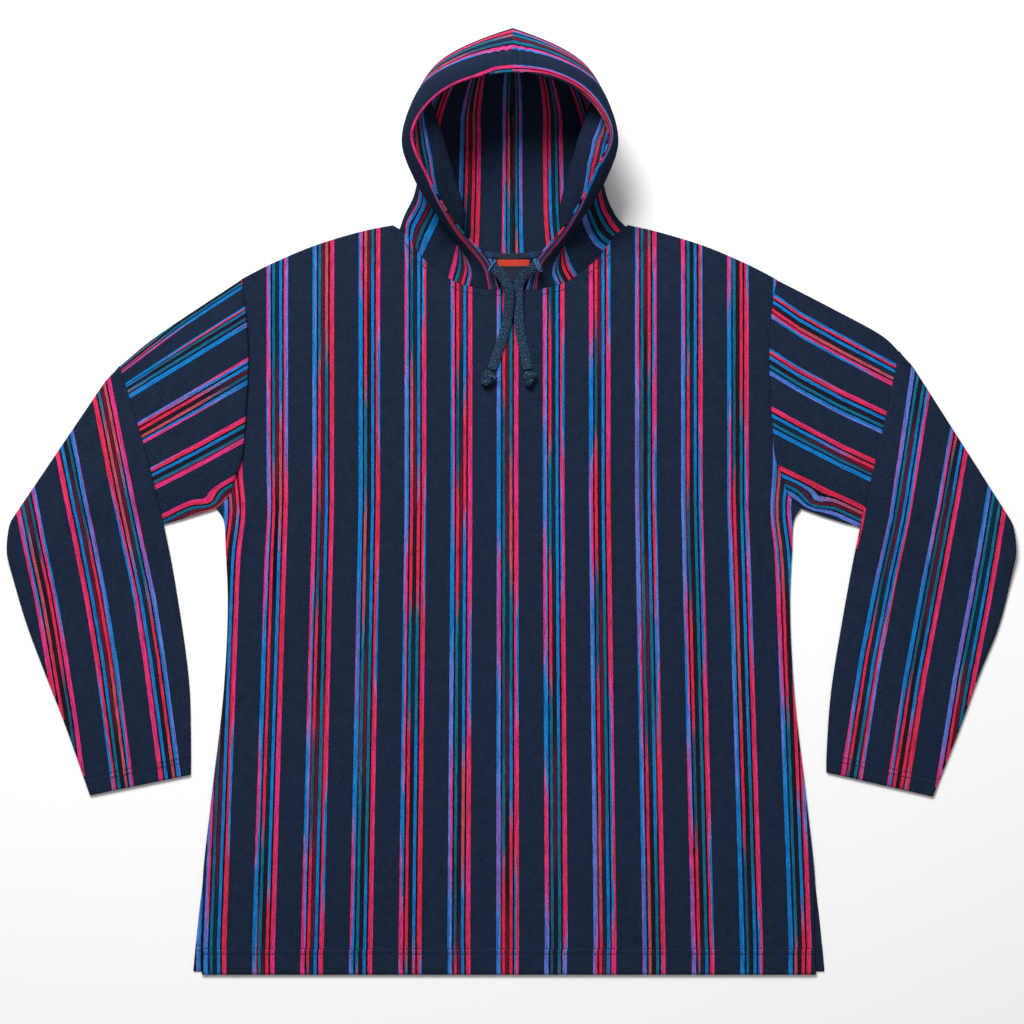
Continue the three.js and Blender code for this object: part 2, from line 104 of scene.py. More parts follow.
def smooth_line(points):
    """Close points on the smooth curve through the given ones."""
    given = np.asarray(points, float)
    given = np.vstack([2 * given[0] - given[1], given, 2 * given[-1] - given[-2]])
    t = np.linspace(0, 1, CURVE_STEPS, endpoint=False)[:, None]
    line = []
    for k in range(1, len(given) - 2):
        a, b, c, d = given[k - 1 : k + 3]
        ab, bc, cd = (max(np.linalg.norm(q - p) ** 0.5, 1e-6) for p, q in ((a, b), (b, c), (c, d)))
        start = ((b - a) / ab - (c - a) / (ab + bc) + (c - b) / bc) * bc
        end = ((c - b) / bc - (d - b) / (bc + cd) + (d - c) / cd) * bc
        line.append(
            b * (2 * t**3 - 3 * t**2 + 1)
            + start * (t**3 - 2 * t**2 + t)
            + c * (3 * t**2 - 2 * t**3)
            + end * (t**3 - t**2)
        )
    return np.vstack([*line, given[-2][None]])


def lengths_along(line):
    return np.concatenate([[0], np.cumsum(np.linalg.norm(np.diff(line, axis=0), axis=1))])


def points_at(line, shares):
    """Points at the given shares of a line's length."""
    at = lengths_along(line)
    wanted = np.asarray(shares, float) * at[-1]
    return np.stack([np.interp(wanted, at, line[:, k]) for k in range(line.shape[1])], axis=-1)


def unit(vectors):
    return vectors / np.maximum(np.linalg.norm(vectors, axis=-1, keepdims=True), 1e-9)


def make_mesh(name, points, faces, pattern, material):
    """An object from points in millimetres. The pattern has a place for each corner of each face."""
    mesh = bpy.data.meshes.new(name)
    mesh.from_pydata(metres(points).tolist(), [], [list(face) for face in faces])
    layer = mesh.uv_layers.new(name="pattern")
    layer.data.foreach_set("uv", np.concatenate([np.asarray(corners, float).ravel() for corners in pattern]))
    mesh.shade_smooth()
    mesh.materials.append(material)
    mesh.update()
    obj = bpy.data.objects.new(name, mesh)
    scene.collection.objects.link(obj)
    return obj


def cells(grid):
    """The four corners of each cell of a grid."""
    return np.stack([grid[:-1, :-1], grid[:-1, 1:], grid[1:, 1:], grid[1:, :-1]], axis=2)


def closed_tube(name, rings, material):
    """A tube round rings of points, closed at both ends. Its pattern is in millimetres round and along."""
    count, sides = rings.shape[:2]
    around = lengths_along(np.vstack([rings[count // 2], rings[count // 2][:1]]))
    down = lengths_along(rings.mean(axis=1))
    points = np.vstack([rings.reshape(-1, 3), rings[0].mean(axis=0), rings[-1].mean(axis=0)])
    ring = np.arange(count * sides).reshape(count, sides)
    faces = cells(np.hstack([ring, ring[:, :1]])).reshape(-1, 4).tolist()
    pattern = [cells(np.stack(np.meshgrid(around, down), axis=-1))]
    start, end = ring[0].tolist(), ring[-1].tolist()
    faces += [(len(points) - 2, start[(k + 1) % sides], start[k]) for k in range(sides)]
    faces += [(len(points) - 1, end[k], end[(k + 1) % sides]) for k in range(sides)]
    pattern += [[(0, down[0])] * 3 * sides, [(0, down[-1])] * 3 * sides]
    return make_mesh(name, points, faces, pattern, material)


class Finish:
    """A material whose nodes are added one by one."""

    def __init__(self, name):
        self.material = bpy.data.materials.new(name)
        self.material.use_nodes = True
        self.tree = self.material.node_tree
        self.tree.nodes.clear()

    def node(self, kind, settings=None, inputs=None, stops=None):
        """A node of a kind: its settings first, then a ramp's stops, then its sockets' values or links."""
        node = self.tree.nodes.new(kind)
        for key, value in (settings or {}).items():
            setattr(node, key, value)
        if stops:
            ramp = node.color_ramp
            while len(ramp.elements) > 1:
                ramp.elements.remove(ramp.elements[-1])
            ramp.elements[0].position = stops[0][0]
            ramp.elements[0].color = stops[0][1]
            for place, colour in stops[1:]:
                ramp.elements.new(place).color = colour
        for key, value in (inputs or {}).items():
            if isinstance(value, Amount):
                value = value.socket
            if isinstance(value, bpy.types.NodeSocket):
                self.tree.links.new(value, node.inputs[key])
            else:
                node.inputs[key].default_value = value
        return node

    def pattern(self):
        """The two places of the piece's pattern."""
        place = self.node("ShaderNodeUVMap", {"uv_map": "pattern"})
        parts = self.node("ShaderNodeSeparateXYZ", inputs={"Vector": place.outputs[0]})
        return Amount(self, parts.outputs["X"]), Amount(self, parts.outputs["Y"])

    def noise(self, x, y, detail=2.0, scale=1.0):
        """Smooth noise of 0 to 1 at a place in two directions."""
        place = self.node("ShaderNodeCombineXYZ", inputs={"X": x, "Y": y})
        inputs = {"Vector": place.outputs[0], "Scale": scale, "Detail": detail}
        return Amount(self, self.node("ShaderNodeTexNoise", {"noise_dimensions": "2D"}, inputs).outputs[0])

    def random(self, value):
        """A random share for each value."""
        node = self.node("ShaderNodeTexWhiteNoise", {"noise_dimensions": "1D"}, {"W": value})
        return Amount(self, node.outputs["Value"])

    def mix(self, share, first, second, blend="MIX"):
        """A mix of two colours."""
        settings = {"data_type": "RGBA", "blend_type": blend}
        return self.node("ShaderNodeMix", settings, {0: share, 6: first, 7: second}).outputs[2]

    def surface(self, height, distance, **inputs):
        """The shader and the material's output, with a bump of the height."""
        bump = self.node("ShaderNodeBump", inputs={"Height": height, "Distance": distance, "Strength": 1.0})
        named = {key.replace("_", " "): value for key, value in inputs.items()}
        shader = self.node("ShaderNodeBsdfPrincipled", inputs={**named, "Normal": bump.outputs[0]})
        self.node("ShaderNodeOutputMaterial", inputs={"Surface": shader.outputs[0]})
        return self.material


class Amount:
    """A number that changes over a surface, for use in sums."""

    def __init__(self, finish, socket):
        self.finish = finish
        self.socket = socket

    def apply(self, operation, *terms):
        node = self.finish.node("ShaderNodeMath", {"operation": operation}, dict(enumerate(terms)))
        return Amount(self.finish, node.outputs[0])

    def __add__(self, other):
        return self.apply("ADD", self, other)

    def __sub__(self, other):
        return self.apply("SUBTRACT", self, other)

    def __rsub__(self, other):
        return self.apply("SUBTRACT", other, self)

    def __mul__(self, other):
        return self.apply("MULTIPLY", self, other)

    def __truediv__(self, other):
        return self.apply("DIVIDE", self, other)

    def floor(self):
        return self.apply("FLOOR", self)

    def cosine(self):
        return self.apply("COSINE", self)

    def size(self):
        return self.apply("ABSOLUTE", self)

    def minimum(self, other):
        return self.apply("MINIMUM", self, other)

    def between(self, low, high):
        """0 under low, 1 over high and smooth between."""
        settings = {"interpolation_type": "SMOOTHSTEP"}
        inputs = {"Value": self, "From Min": low, "From Max": high}
        return Amount(self.finish, self.finish.node("ShaderNodeMapRange", settings, inputs).outputs[0])


def braid_finish(name, around_pitch):
    """Braided cotton: yarn with lighter flecks, plait tops painted lighter as a painted highlight and left
    dark between them as painted shade, and fine threads that slant across.
    """
    braid = Finish(name)
    around, down = braid.pattern()
    turn = 2 * math.pi / around_pitch
    slide = 2 * math.pi / PLAIT_LENGTH
    plait = (around * turn).cosine() * (down * slide).cosine() * 0.5 + 0.5
    threads = ((around * turn + down * slide) * 3).cosine() * ((around * turn - down * slide) * 3).cosine()
    uneven = braid.noise(around * 0.9, down * 0.9, detail=3.0)
    fleck = braid.noise(around * 0.55 + 40, down * 0.55, detail=2.0)
    # Painted highlight: the plait term lifts the tops of the plaits towards the fleck colour, on top of the
    # yarn's real flecks.
    light = (plait * 0.38 + fleck * 0.8 + threads * 0.16).between(0.62, 0.98)
    ground = braid.mix(uneven, linear(CORD_DARK), linear(CORD_MID))
    colour = braid.mix(light, ground, linear(CORD_FLECK_AND_HIGHLIGHT))
    height = plait + threads * 0.12 + uneven * 0.2
    return braid.surface(height, 0.00035, Base_Color=colour, Roughness=0.85, Specular_IOR_Level=0.12)


def flat_braid(line):
    """Rings of a flat braid along a line of points, level with the surface, with each plait raised."""
    half_width, half_thickness = CORD_WIDTH / 2, CORD_THICKNESS / 2
    along = unit(np.gradient(line, axis=0))
    across = unit(np.stack([along[:, 1], -along[:, 0], np.zeros(len(line))], axis=-1))
    upward = np.cross(across, along)
    turn = np.linspace(0, 2 * math.pi, CORD_SIDES, endpoint=False)
    side, high = (np.sign(part) * np.abs(part) ** CORD_SQUARENESS for part in (np.cos(turn), np.sin(turn)))
    down = lengths_along(line)[:, None]
    plait = np.cos(PLAIT_AROUND * turn)[None] * np.cos(2 * math.pi * down / PLAIT_LENGTH)
    sunk = PLAIT_DEPTH * (plait - 1) / 2
    raised, widened = 1 + sunk / half_thickness, 1 + sunk / half_width
    return (
        line[:, None]
        + across[:, None] * (half_width * side * widened)[..., None]
        + upward[:, None] * (half_thickness * high * raised)[..., None]
    )


cord_girth = 2 * math.pi * math.sqrt((CORD_WIDTH**2 + CORD_THICKNESS**2) / 8)
cord_material = braid_finish("drawcord_braid", cord_girth / PLAIT_AROUND)
cords = {}
for side_name, route in DRAWCORDS.items():
    line = smooth_line(route)
    length = lengths_along(line)[-1]
    line = points_at(line, np.linspace(0, 1, round(length / CORD_STEP)))
    cord = closed_tube(f"drawcord_{side_name}_braid", flat_braid(line), cord_material)
    cords[side_name] = (cord, line, length)

# Knots
# Each free end is tied in an overhand knot, pulled tight into a round lump of the same braid.
KNOTS = {
    "left": {"middle": (-24.5, 129.3, 10.4), "across": 17.5, "along": 19.5, "up": 13, "turn": 0.35},
    "right": {"middle": (18.3, 129, 10.2), "across": 15.2, "along": 18.6, "up": 12.6, "turn": -0.1},
}
KNOT_CORD = 3.9
KNOT_STEPS = 260
KNOT_SIDES = 26
KNOT_PLAITS = 6
KNOT_LEAN = 0.5

knot_material = braid_finish("knot_braid", 2 * math.pi * KNOT_CORD / KNOT_PLAITS)
for side_name, size in KNOTS.items():
    t = np.linspace(0, 2 * math.pi, KNOT_STEPS + 1)
    loop = np.stack([np.sin(t) + 2 * np.sin(2 * t), np.cos(t) - 2 * np.cos(2 * t), -np.sin(3 * t)], axis=-1)
    half = np.array([size["across"], size["along"], size["up"]]) / 2 - KNOT_CORD
    loop = loop / np.abs(loop).max(axis=0) * half
    angle = size["turn"] + KNOT_LEAN
    cosine, sine = math.cos(angle), math.sin(angle)
    turned = np.array([[cosine, sine, 0], [-sine, cosine, 0], [0, 0, 1]])
    loop = loop @ turned.T + size["middle"]
    ahead = unit(np.gradient(loop, axis=0))
    ahead[0] = ahead[-1] = unit(loop[1] - loop[-2])
    outward = unit(loop - np.asarray(size["middle"]) + 1e-6)
    sideways = unit(np.cross(ahead, outward))
    outward = np.cross(sideways, ahead)
    turn = np.linspace(0, 2 * math.pi, KNOT_SIDES, endpoint=False)
    down = lengths_along(loop)
    plait = np.cos(KNOT_PLAITS * turn)[None] * np.cos(2 * math.pi * down / PLAIT_LENGTH)[:, None]
    reach = KNOT_CORD + PLAIT_DEPTH * (plait - 1) / 2
    rings = (
        loop[:, None]
        + sideways[:, None] * (reach * np.cos(turn))[..., None]
        + outward[:, None] * (reach * np.sin(turn))[..., None]
    )
    knot = closed_tube(f"knot_{side_name}_braid", rings, knot_material)
    cord, line, length = cords[side_name]
    for piece, node in ((cord, f"drawcord_{side_name}"), (knot, f"knot_{side_name}")):
        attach(piece, "root")
        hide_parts(node)

# Front and back panels
# Two wide panels of brushed cotton with yarn-dyed stripes down their length, sewn together along the
# shoulders and down the sides to a vent above the hem, which is turned up once and stitched twice.
CLOTH = 1.5
LAYER_GAP = 0.5
FRONT_BASE = CLOTH + LAYER_GAP
BODY_CENTRE = -3.3
NECK_CENTRE = -1.6
SIDE = [
    (321.3, -496), (320, -430), (320.5, -397), (311.7, -313), (299, -203), (294.3, -110), (296.4, -53),
    (299, -18), (306, -7.2),
]
BACK_SIDE = [(330.5, -492.6), (326, -445), *SIDE[2:]]
ARMHOLE = [
    (306, -7.2), (294, 6), (287, 26), (280.5, 45), (277.5, 75), (275, 115), (273.8, 155), (275.5, 190),
    (280.9, 232.5),
]
SHOULDER = [(280.9, 232.5), (253, 247), (205, 267.5), (152, 283.4), (121.9, 289.3)]
FRONT_NECK = [(0, 222), (30, 223), (57, 229.6), (80, 245), (95, 259), (109, 279), (123.4, 289.3)]
BACK_NECK = [(0, 256.7), (60, 263.5), (100, 277), (123.4, 289.3)]
HEM_DEPTH = 27
HEM_ROWS = (HEM_DEPTH - 5.8, HEM_DEPTH)
VENT_TOP = -397
FRONT_PUFF = 3.2
HEM_RISE = 0.9
BACK_HEM_RISE = 0.3
HEM_GROOVE = {"deep": 0.6, "half": 1.1}
HEM_ASKEW = {"mean": 0.2, "reach": 0.6, "wave": 41}
NOT_SEWN = 60
SEAM_LAYER_GAP = 0.08
CELL = 5.0
EDGE_ROUNDNESS = 0.9

# A group of stripes is 22.6 mm wide and comes every 48.3 mm. A row of the table is where a band of the group
# starts, in millimetres from its middle, and the colours that its yarn is dyed with, by share.
GROUP_PITCH = 48.3
GROUP_HALF = 11.3
FIRST_GROUP = -4.7
FAN_LENGTH = 470
FAN_OUT = 2.9
UNDERARM_BEND = 3.9
NAVY = (13, 24, 42)
NAVY_LIGHT = (26, 40, 61)
NAVY_DARK = (12, 19, 38)
PINK = (230, 56, 124)
RED = (228, 48, 82)
SALMON = (196, 84, 96)
BLUE = (20, 128, 202)
VIOLET_BLUE = (100, 124, 212)
VIOLET = (142, 96, 186)
TEAL = (16, 112, 144)
DEEP_TEAL = (30, 88, 116)
MAROON = (104, 24, 44)
BROWN = (34, 26, 36)
DARK_TEAL = (20, 46, 62)
GAP_NAVY = (10, 12, 34)
BANDS = [
    {"from": -11.3, "dyed": [(VIOLET_BLUE, 0.34), (BLUE, 0.3), (VIOLET, 0.12), (PINK, 0.24)]},
    {"from": -9.1, "dyed": [(BLUE, 0.4), (VIOLET_BLUE, 0.2), (PINK, 0.25), (VIOLET, 0.15)]},
    {"from": -7.0, "dyed": [(GAP_NAVY, 0.75), (MAROON, 0.25)]},
    {"from": -5.3, "dyed": [(TEAL, 0.34), (RED, 0.26), (DEEP_TEAL, 0.2), (SALMON, 0.2)]},
    {"from": -2.4, "dyed": [(GAP_NAVY, 1.0)]},
    {"from": -1.6, "dyed": [(BROWN, 0.38), (MAROON, 0.37), (DARK_TEAL, 0.25)]},
    {"from": 1.2, "dyed": [(GAP_NAVY, 1.0)]},
    {"from": 2.0, "dyed": [(BLUE, 0.44), (TEAL, 0.26), (RED, 0.2), (SALMON, 0.1)]},
    {"from": 5.0, "dyed": [(GAP_NAVY, 0.8), (MAROON, 0.2)]},
    {"from": 6.8, "dyed": [(RED, 0.55), (PINK, 0.2), (BLUE, 0.25)]},
    {"from": 9.1, "dyed": [(PINK, 0.5), (RED, 0.15), (BLUE, 0.2), (VIOLET_BLUE, 0.15)]},
]
BAND_LEVELS = 16
DYE_RUN = 0.125
DYE_FADE = 0.62
THREAD = 0.55
# Yarns round this place, on both sides of a group's middle, wander, so that the outer bands trade widths
WANDER_PLACE = 9.0
WANDER_HALF = 2.3
WANDER_REACH = 3.6


def striped_cloth():
    """Brushed cotton: a navy ground, and groups of bands whose yarns change colour along their length."""
    cloth = Finish("striped_cotton")
    across, along = cloth.pattern()
    group = (across + 0.5).floor()
    place = (across - group) * GROUP_PITCH
    from_split = (place.size() - WANDER_PLACE).size() / WANDER_HALF
    half = place.between(-0.1, 0.1)
    wander = cloth.noise(group * 7.3 + half * 3.1, along * 14, detail=1.0) - 0.5
    place = place + (1 - from_split.minimum(1.0)) * wander * WANDER_REACH
    place = place + (cloth.noise(place * 0.5, along * 260, detail=1.0) - 0.5) * 0.5

    width = GROUP_HALF * 2 + 2
    stops = [(0.0, (0, 0, 0, 1))]
    for number, row in enumerate(BANDS, 1):
        stops.append(((row["from"] + width / 2) / width, (number / BAND_LEVELS,) * 3 + (1,)))
    stops.append(((GROUP_HALF + width / 2) / width, (0, 0, 0, 1)))
    share = place / width + 0.5
    ramp = cloth.node("ShaderNodeValToRGB", inputs={"Fac": share}, stops=stops)
    ramp.color_ramp.interpolation = "CONSTANT"
    level = cloth.node("ShaderNodeSeparateColor", inputs={"Color": ramp.outputs[0]}).outputs[0]
    band = (Amount(cloth, level) * BAND_LEVELS + 0.5).floor()

    thread = (place / THREAD).floor()
    early = cloth.random(thread + group * 91.7) - 0.5
    slow = cloth.noise(thread * 3.1, along * 40) - 0.5
    seed = cloth.random(group * 12.7 + band * 3.37)
    run = (along + early * 0.016 + slow * 0.05) / DYE_RUN + seed * 211
    cell = run.floor()

    stops = []
    for number, row in enumerate(BANDS):
        start = 0.0
        for colour, part in row["dyed"]:
            stops.append(((number + start) / len(BANDS), linear(colour)))
            start += part
    dyes = []
    for step in (0, 1):
        pick = cloth.random(cell + step) * 0.96 + 0.02
        ramp = cloth.node("ShaderNodeValToRGB", inputs={"Fac": (band - 1 + pick) / len(BANDS)}, stops=stops)
        ramp.color_ramp.interpolation = "CONSTANT"
        dyes.append(ramp.outputs[0])
    dyed = cloth.mix((run - cell).between(DYE_FADE, 1.0), dyes[0], dyes[1])

    across_mm = across * GROUP_PITCH
    grain = cloth.noise(across_mm * 0.8 + along * 520, along * 700 - across_mm * 0.5, detail=1.0)
    mottle = cloth.noise(across_mm * 0.1, along * 90, detail=3.0)
    streak = cloth.noise(thread * 1.7, along * 70, detail=3.0)
    lines = (place * (math.pi / THREAD)).cosine()
    ground = cloth.mix((grain + mottle * 0.25 - 0.12).between(0.34, 0.68), linear(NAVY), linear(NAVY_LIGHT))
    beside = place.size().between(GROUP_HALF + 1.6, GROUP_HALF)
    ground = cloth.mix(beside * 0.7, ground, linear(NAVY_DARK))
    bright = (streak * 0.8 + grain * 0.6 + lines * 0.07).between(0.38, 1.0)
    shade = cloth.mix(bright, linear((140, 132, 152)), (1, 1, 1, 1))
    dyed = cloth.mix(1.0, dyed, shade, "MULTIPLY")
    colour = cloth.mix(band.minimum(1.0), ground, dyed)
    height = grain + mottle * 0.4
    return cloth.surface(height, 0.00025, Base_Color=colour, Roughness=0.92, Specular_IOR_Level=0.1)


striped = striped_cloth()


def shell(name, outer, inner, outer_pattern, inner_pattern, loop=False, material=None):
    """A closed wall of cloth between two grids of points, with round edges.

    A pattern has a place for each point, or four for each cell where it jumps. A loop's pattern has one
    column more than its points.
    """
    rows, columns = outer.shape[:2]
    numbers = np.arange(rows * columns).reshape(rows, columns)
    if loop:
        numbers = np.hstack([numbers, numbers[:, :1]])

    width = numbers.shape[1]
    outer_cells = cells(outer_pattern)
    inner_cells = inner_pattern if inner_pattern.ndim == 4 else cells(inner_pattern)
    faces = [cells(numbers).reshape(-1, 4), (cells(numbers) + rows * columns)[:, :, ::-1].reshape(-1, 4)]
    pattern = [outer_cells, inner_cells[:, :, ::-1]]
    first = [(0, c) for c in range(width)]
    last = [(rows - 1, c) for c in range(width - 1, -1, -1)]
    right = [(r, width - 1) for r in range(1, rows)]
    left = [(r, 0) for r in range(rows - 2, -1, -1)]
    paths = [first, last] if loop else [first + right + last[1:] + left]
    middle = (outer + inner) / 2
    edge_points = []
    start = 2 * rows * columns
    for path in paths:
        here = start + len(edge_points)
        spots = path[:-1]
        for r, c in spots:
            inside = middle[min(max(r, 1), rows - 2), c % columns if loop else min(max(c, 1), columns - 2)]
            thick = np.linalg.norm(outer[r, c % columns] - inner[r, c % columns])
            away = unit(middle[r, c % columns] - inside)
            edge_points.append(middle[r, c % columns] + away * thick / 2 * EDGE_ROUNDNESS)
        count = len(spots)
        for k in range(count):
            (r0, c0), (r1, c1) = path[k], path[k + 1]
            a, b = numbers[r0, c0], numbers[r1, c1]
            m, n = here + k, here + (k + 1) % count
            faces.append(np.array([[b, a, m, n], [n, m, a + rows * columns, b + rows * columns]]))
            p, q = outer_pattern[r0, c0], outer_pattern[r1, c1]
            pattern.append(np.array([[q, p, p, q], [q, p, p, q]]))
    points = np.vstack([outer.reshape(-1, 3), inner.reshape(-1, 3), edge_points])
    points[:, 2] = np.maximum(points[:, 2], 0)
    faces = np.vstack(faces)
    corners = [np.asarray(part, float).reshape(-1, 4, 2) for part in pattern]
    a, b, c, d = (points[faces[:, k]] for k in range(4))
    volume = np.einsum("ij,ij->", a, np.cross(b, c)) + np.einsum("ij,ij->", a, np.cross(c, d))
    corners = np.vstack(corners)
    if volume < 0:
        faces, corners = faces[:, ::-1], corners[:, ::-1]
    return make_mesh(name, points, faces, [corners], material or striped)


def graded(length, cell, near_start=(), near_end=()):
    """Places along a length: closer ones near its ends and one for each cell between them."""
    first, last = max(near_start, default=0), max(near_end, default=0)
    count = max(1, round((length - first - last) / cell))
    between = np.linspace(first, length - last, count + 1)
    places = np.concatenate([[0.0], near_start, between, [length - n for n in near_end], [length]])
    return np.unique(np.round(places, 6)) / length


def mirrored(rows, side, centre):
    return np.array([(centre + side * out, up) for out, up in rows])


EDGE_STEPS = (0.8, 1.8, 3.2)
CORNER_STEPS = (0.8, 2)
HEM_STEPS = (*EDGE_STEPS, *np.arange(5, 34, 1.5))


def panel_side(side_rows, side):
    """A panel's edge from the hem up to the tip of the shoulder."""
    seam = smooth_line(mirrored(side_rows, side, BODY_CENTRE))
    armhole = smooth_line(mirrored(ARMHOLE, side, BODY_CENTRE))
    seam = points_at(seam, graded(lengths_along(seam)[-1], CELL, HEM_STEPS))
    armhole = points_at(armhole, graded(lengths_along(armhole)[-1], CELL, (), EDGE_STEPS))
    return np.vstack([seam, armhole[1:]])


def panel_top(neck):
    """A panel's edge along the shoulder, the neck and the other shoulder."""
    half = smooth_line(neck)
    half = points_at(half, graded(lengths_along(half)[-1], CELL * 0.8, (), CORNER_STEPS))
    parts = []
    for side in (-1, 1):
        rows = mirrored(SHOULDER, side, BODY_CENTRE)
        rows[-1, 0] = NECK_CENTRE + side * half[-1, 0]
        shoulder = smooth_line(rows)
        shoulder = points_at(shoulder, graded(lengths_along(shoulder)[-1], CELL, EDGE_STEPS, CORNER_STEPS))
        curve = np.stack([NECK_CENTRE + side * half[:, 0], half[:, 1]], axis=-1)
        parts.append(np.vstack([shoulder, curve[::-1][1:]]))
    return np.vstack([parts[0], parts[1][::-1][1:]])


def filled(start, end, first, last, v, u, corners):
    """Points between four edges and their corners. Start and end run along u, first and last along v."""
    v, u = v[:, None, None], u[None, :, None]
    a, b, c, d = corners
    return (
        (1 - v) * start[None]
        + v * end[None]
        + (1 - u) * first[:, None]
        + u * last[:, None]
        - (1 - v) * (1 - u) * a
        - (1 - v) * u * b
        - v * (1 - u) * c
        - v * u * d
    )


def panel_grid(side_rows, neck):
    left, right = (panel_side(side_rows, side) for side in (-1, 1))
    top = panel_top(neck)
    u = (top[:, 0] - top[0, 0]) / (top[-1, 0] - top[0, 0])
    v = (left[:, 1] - left[0, 1]) / (left[-1, 1] - left[0, 1])
    hem = left[0] + u[:, None] * (right[0] - left[0])
    return filled(hem, top, left, right, v, u, (hem[0], hem[-1], top[0], top[-1]))


# The back is cut from another length of the cloth
BACK_STRIPES = {"drift": 160, "spread": 1.0086, "first": 40.2}
# Soft creases pressed into the lying cloth, from one end to the other, with their half width and depth
CREASES = [
    {"from": (-262, -4), "to": (-284, -150), "wide": 8, "deep": -2.6},
    {"from": (-246, -10), "to": (-262, -130), "wide": 9, "deep": 2.2},
    {"from": (-222, -40), "to": (-236, -260), "wide": 16, "deep": -1.2},
    {"from": (258, -6), "to": (276, -140), "wide": 8, "deep": -2.4},
    {"from": (242, -16), "to": (258, -170), "wide": 10, "deep": 2},
    {"from": (214, -60), "to": (226, -300), "wide": 17, "deep": -1.1},
    {"from": (-120, -60), "to": (-140, -420), "wide": 26, "deep": 0.9},
    {"from": (96, -90), "to": (110, -430), "wide": 28, "deep": 0.8},
    {"from": (-30, 120), "to": (-60, -180), "wide": 24, "deep": -0.7},
    {"from": (-250, 210), "to": (-258, 60), "wide": 9, "deep": 0.8},
    {"from": (246, 200), "to": (256, 60), "wide": 9, "deep": 0.8},
]


def creased(places):
    """How far the creases raise or lower the cloth at each place."""
    rise = np.zeros(places.shape[:-1])
    for crease in CREASES:
        start, end = (np.asarray(crease[key], float) for key in ("from", "to"))
        run = end - start
        share = ((places - start) @ run) / (run @ run)
        beside = np.abs((places - start) @ np.array([-run[1], run[0]])) / np.linalg.norm(run)
        fade = np.clip(1 - np.abs(2 * share - 1), 0, 1) ** 0.7
        rise += crease["deep"] * np.exp(-((beside / crease["wide"]) ** 2)) * fade
    return rise


def turned_hem(height, depth):
    """Where a hem is turned in: 1 on it and 0 past its edges, by the height over its fold."""
    return smooth_step(height, 0, 2) * smooth_step(depth + 1 - height, 0, 1.6)


def grooves(height, rows, wide):
    """How far the cloth is drawn in beside rows of stitching, as a share."""
    return sum(np.exp(-(((height - row) / wide) ** 2)) for row in rows)


def body_stripes(places, drift=0.0):
    """Stripe places: groups fan out a little from the chest to the hem and bend at the underarms."""
    x, y = places[..., 0], places[..., 1]
    pitch = GROUP_PITCH + np.clip(-y / FAN_LENGTH, 0, 1) * FAN_OUT
    bend = UNDERARM_BEND * np.exp(-(((y + 12) / 30) ** 2)) * smooth_step(np.abs(x), 240, 285)
    return np.stack([(x - FIRST_GROUP + np.sign(x) * bend) / pitch, (y + drift) * 0.001], axis=-1)


front = panel_grid(SIDE, FRONT_NECK)
row_left, row_right = front[:, :1, 0], front[:, -1:, 0]
from_side = np.minimum(front[..., 0] - row_left, row_right - front[..., 0])
from_top = front[-1:, :, 1] - front[..., 1]
from_hem = front[..., 1] - front[:1, :, 1]
on_shoulder = smooth_step(np.abs(front[-1:, :, 0] - NECK_CENTRE), 118, 128)
sewn_side = smooth_step(front[..., 1], VENT_TOP - 20, VENT_TOP + 10)
from_seam = np.minimum(from_side + (1 - sewn_side) * NOT_SEWN, from_top + (1 - on_shoulder) * NOT_SEWN)
closing = smooth_step(from_seam, -1, 12)
puff = FRONT_PUFF * smooth_step(np.minimum(from_side, from_top), 0, 70) * smooth_step(from_hem, 0, 120)
rise = puff + creased(front) * smooth_step(np.minimum(from_side, from_hem), 0, 24)
under = CLOTH + SEAM_LAYER_GAP + (LAYER_GAP - SEAM_LAYER_GAP) * closing + np.maximum(rise, 0) * closing
stitched_in = HEM_GROOVE["deep"] * grooves(from_hem, HEM_ROWS, HEM_GROOVE["half"])
over = under + CLOTH + HEM_RISE * turned_hem(from_hem, HEM_DEPTH) - stitched_in
front_outer = np.dstack([front, over])
front_inner = np.dstack([front, under])
front_pattern = body_stripes(front)
sewn_askew = HEM_ASKEW["mean"] + HEM_ASKEW["reach"] * np.sin(front[..., 0] / HEM_ASKEW["wave"])
front_pattern[..., 0] += sewn_askew * smooth_step(HEM_DEPTH - from_hem, 0, 2) / GROUP_PITCH
body_front = shell("body_front_cloth", front_outer, front_inner, front_pattern, front_pattern)

back = panel_grid(BACK_SIDE, BACK_NECK)
back_over = CLOTH + BACK_HEM_RISE * turned_hem(back[..., 1] - back[:1, :, 1], HEM_DEPTH)
back_pattern = body_stripes(back, BACK_STRIPES["drift"])
back_pattern[..., 0] = back_pattern[..., 0] * BACK_STRIPES["spread"] + BACK_STRIPES["first"]
back_outer, back_inner = (np.dstack([back, high]) for high in (back_over, np.zeros(back.shape[:2])))
body_back = shell("body_back_cloth", back_outer, back_inner, back_pattern, back_pattern)
for piece, node in ((body_front, "body_front"), (body_back, "body_back")):
    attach(piece, "root")
    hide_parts(node)

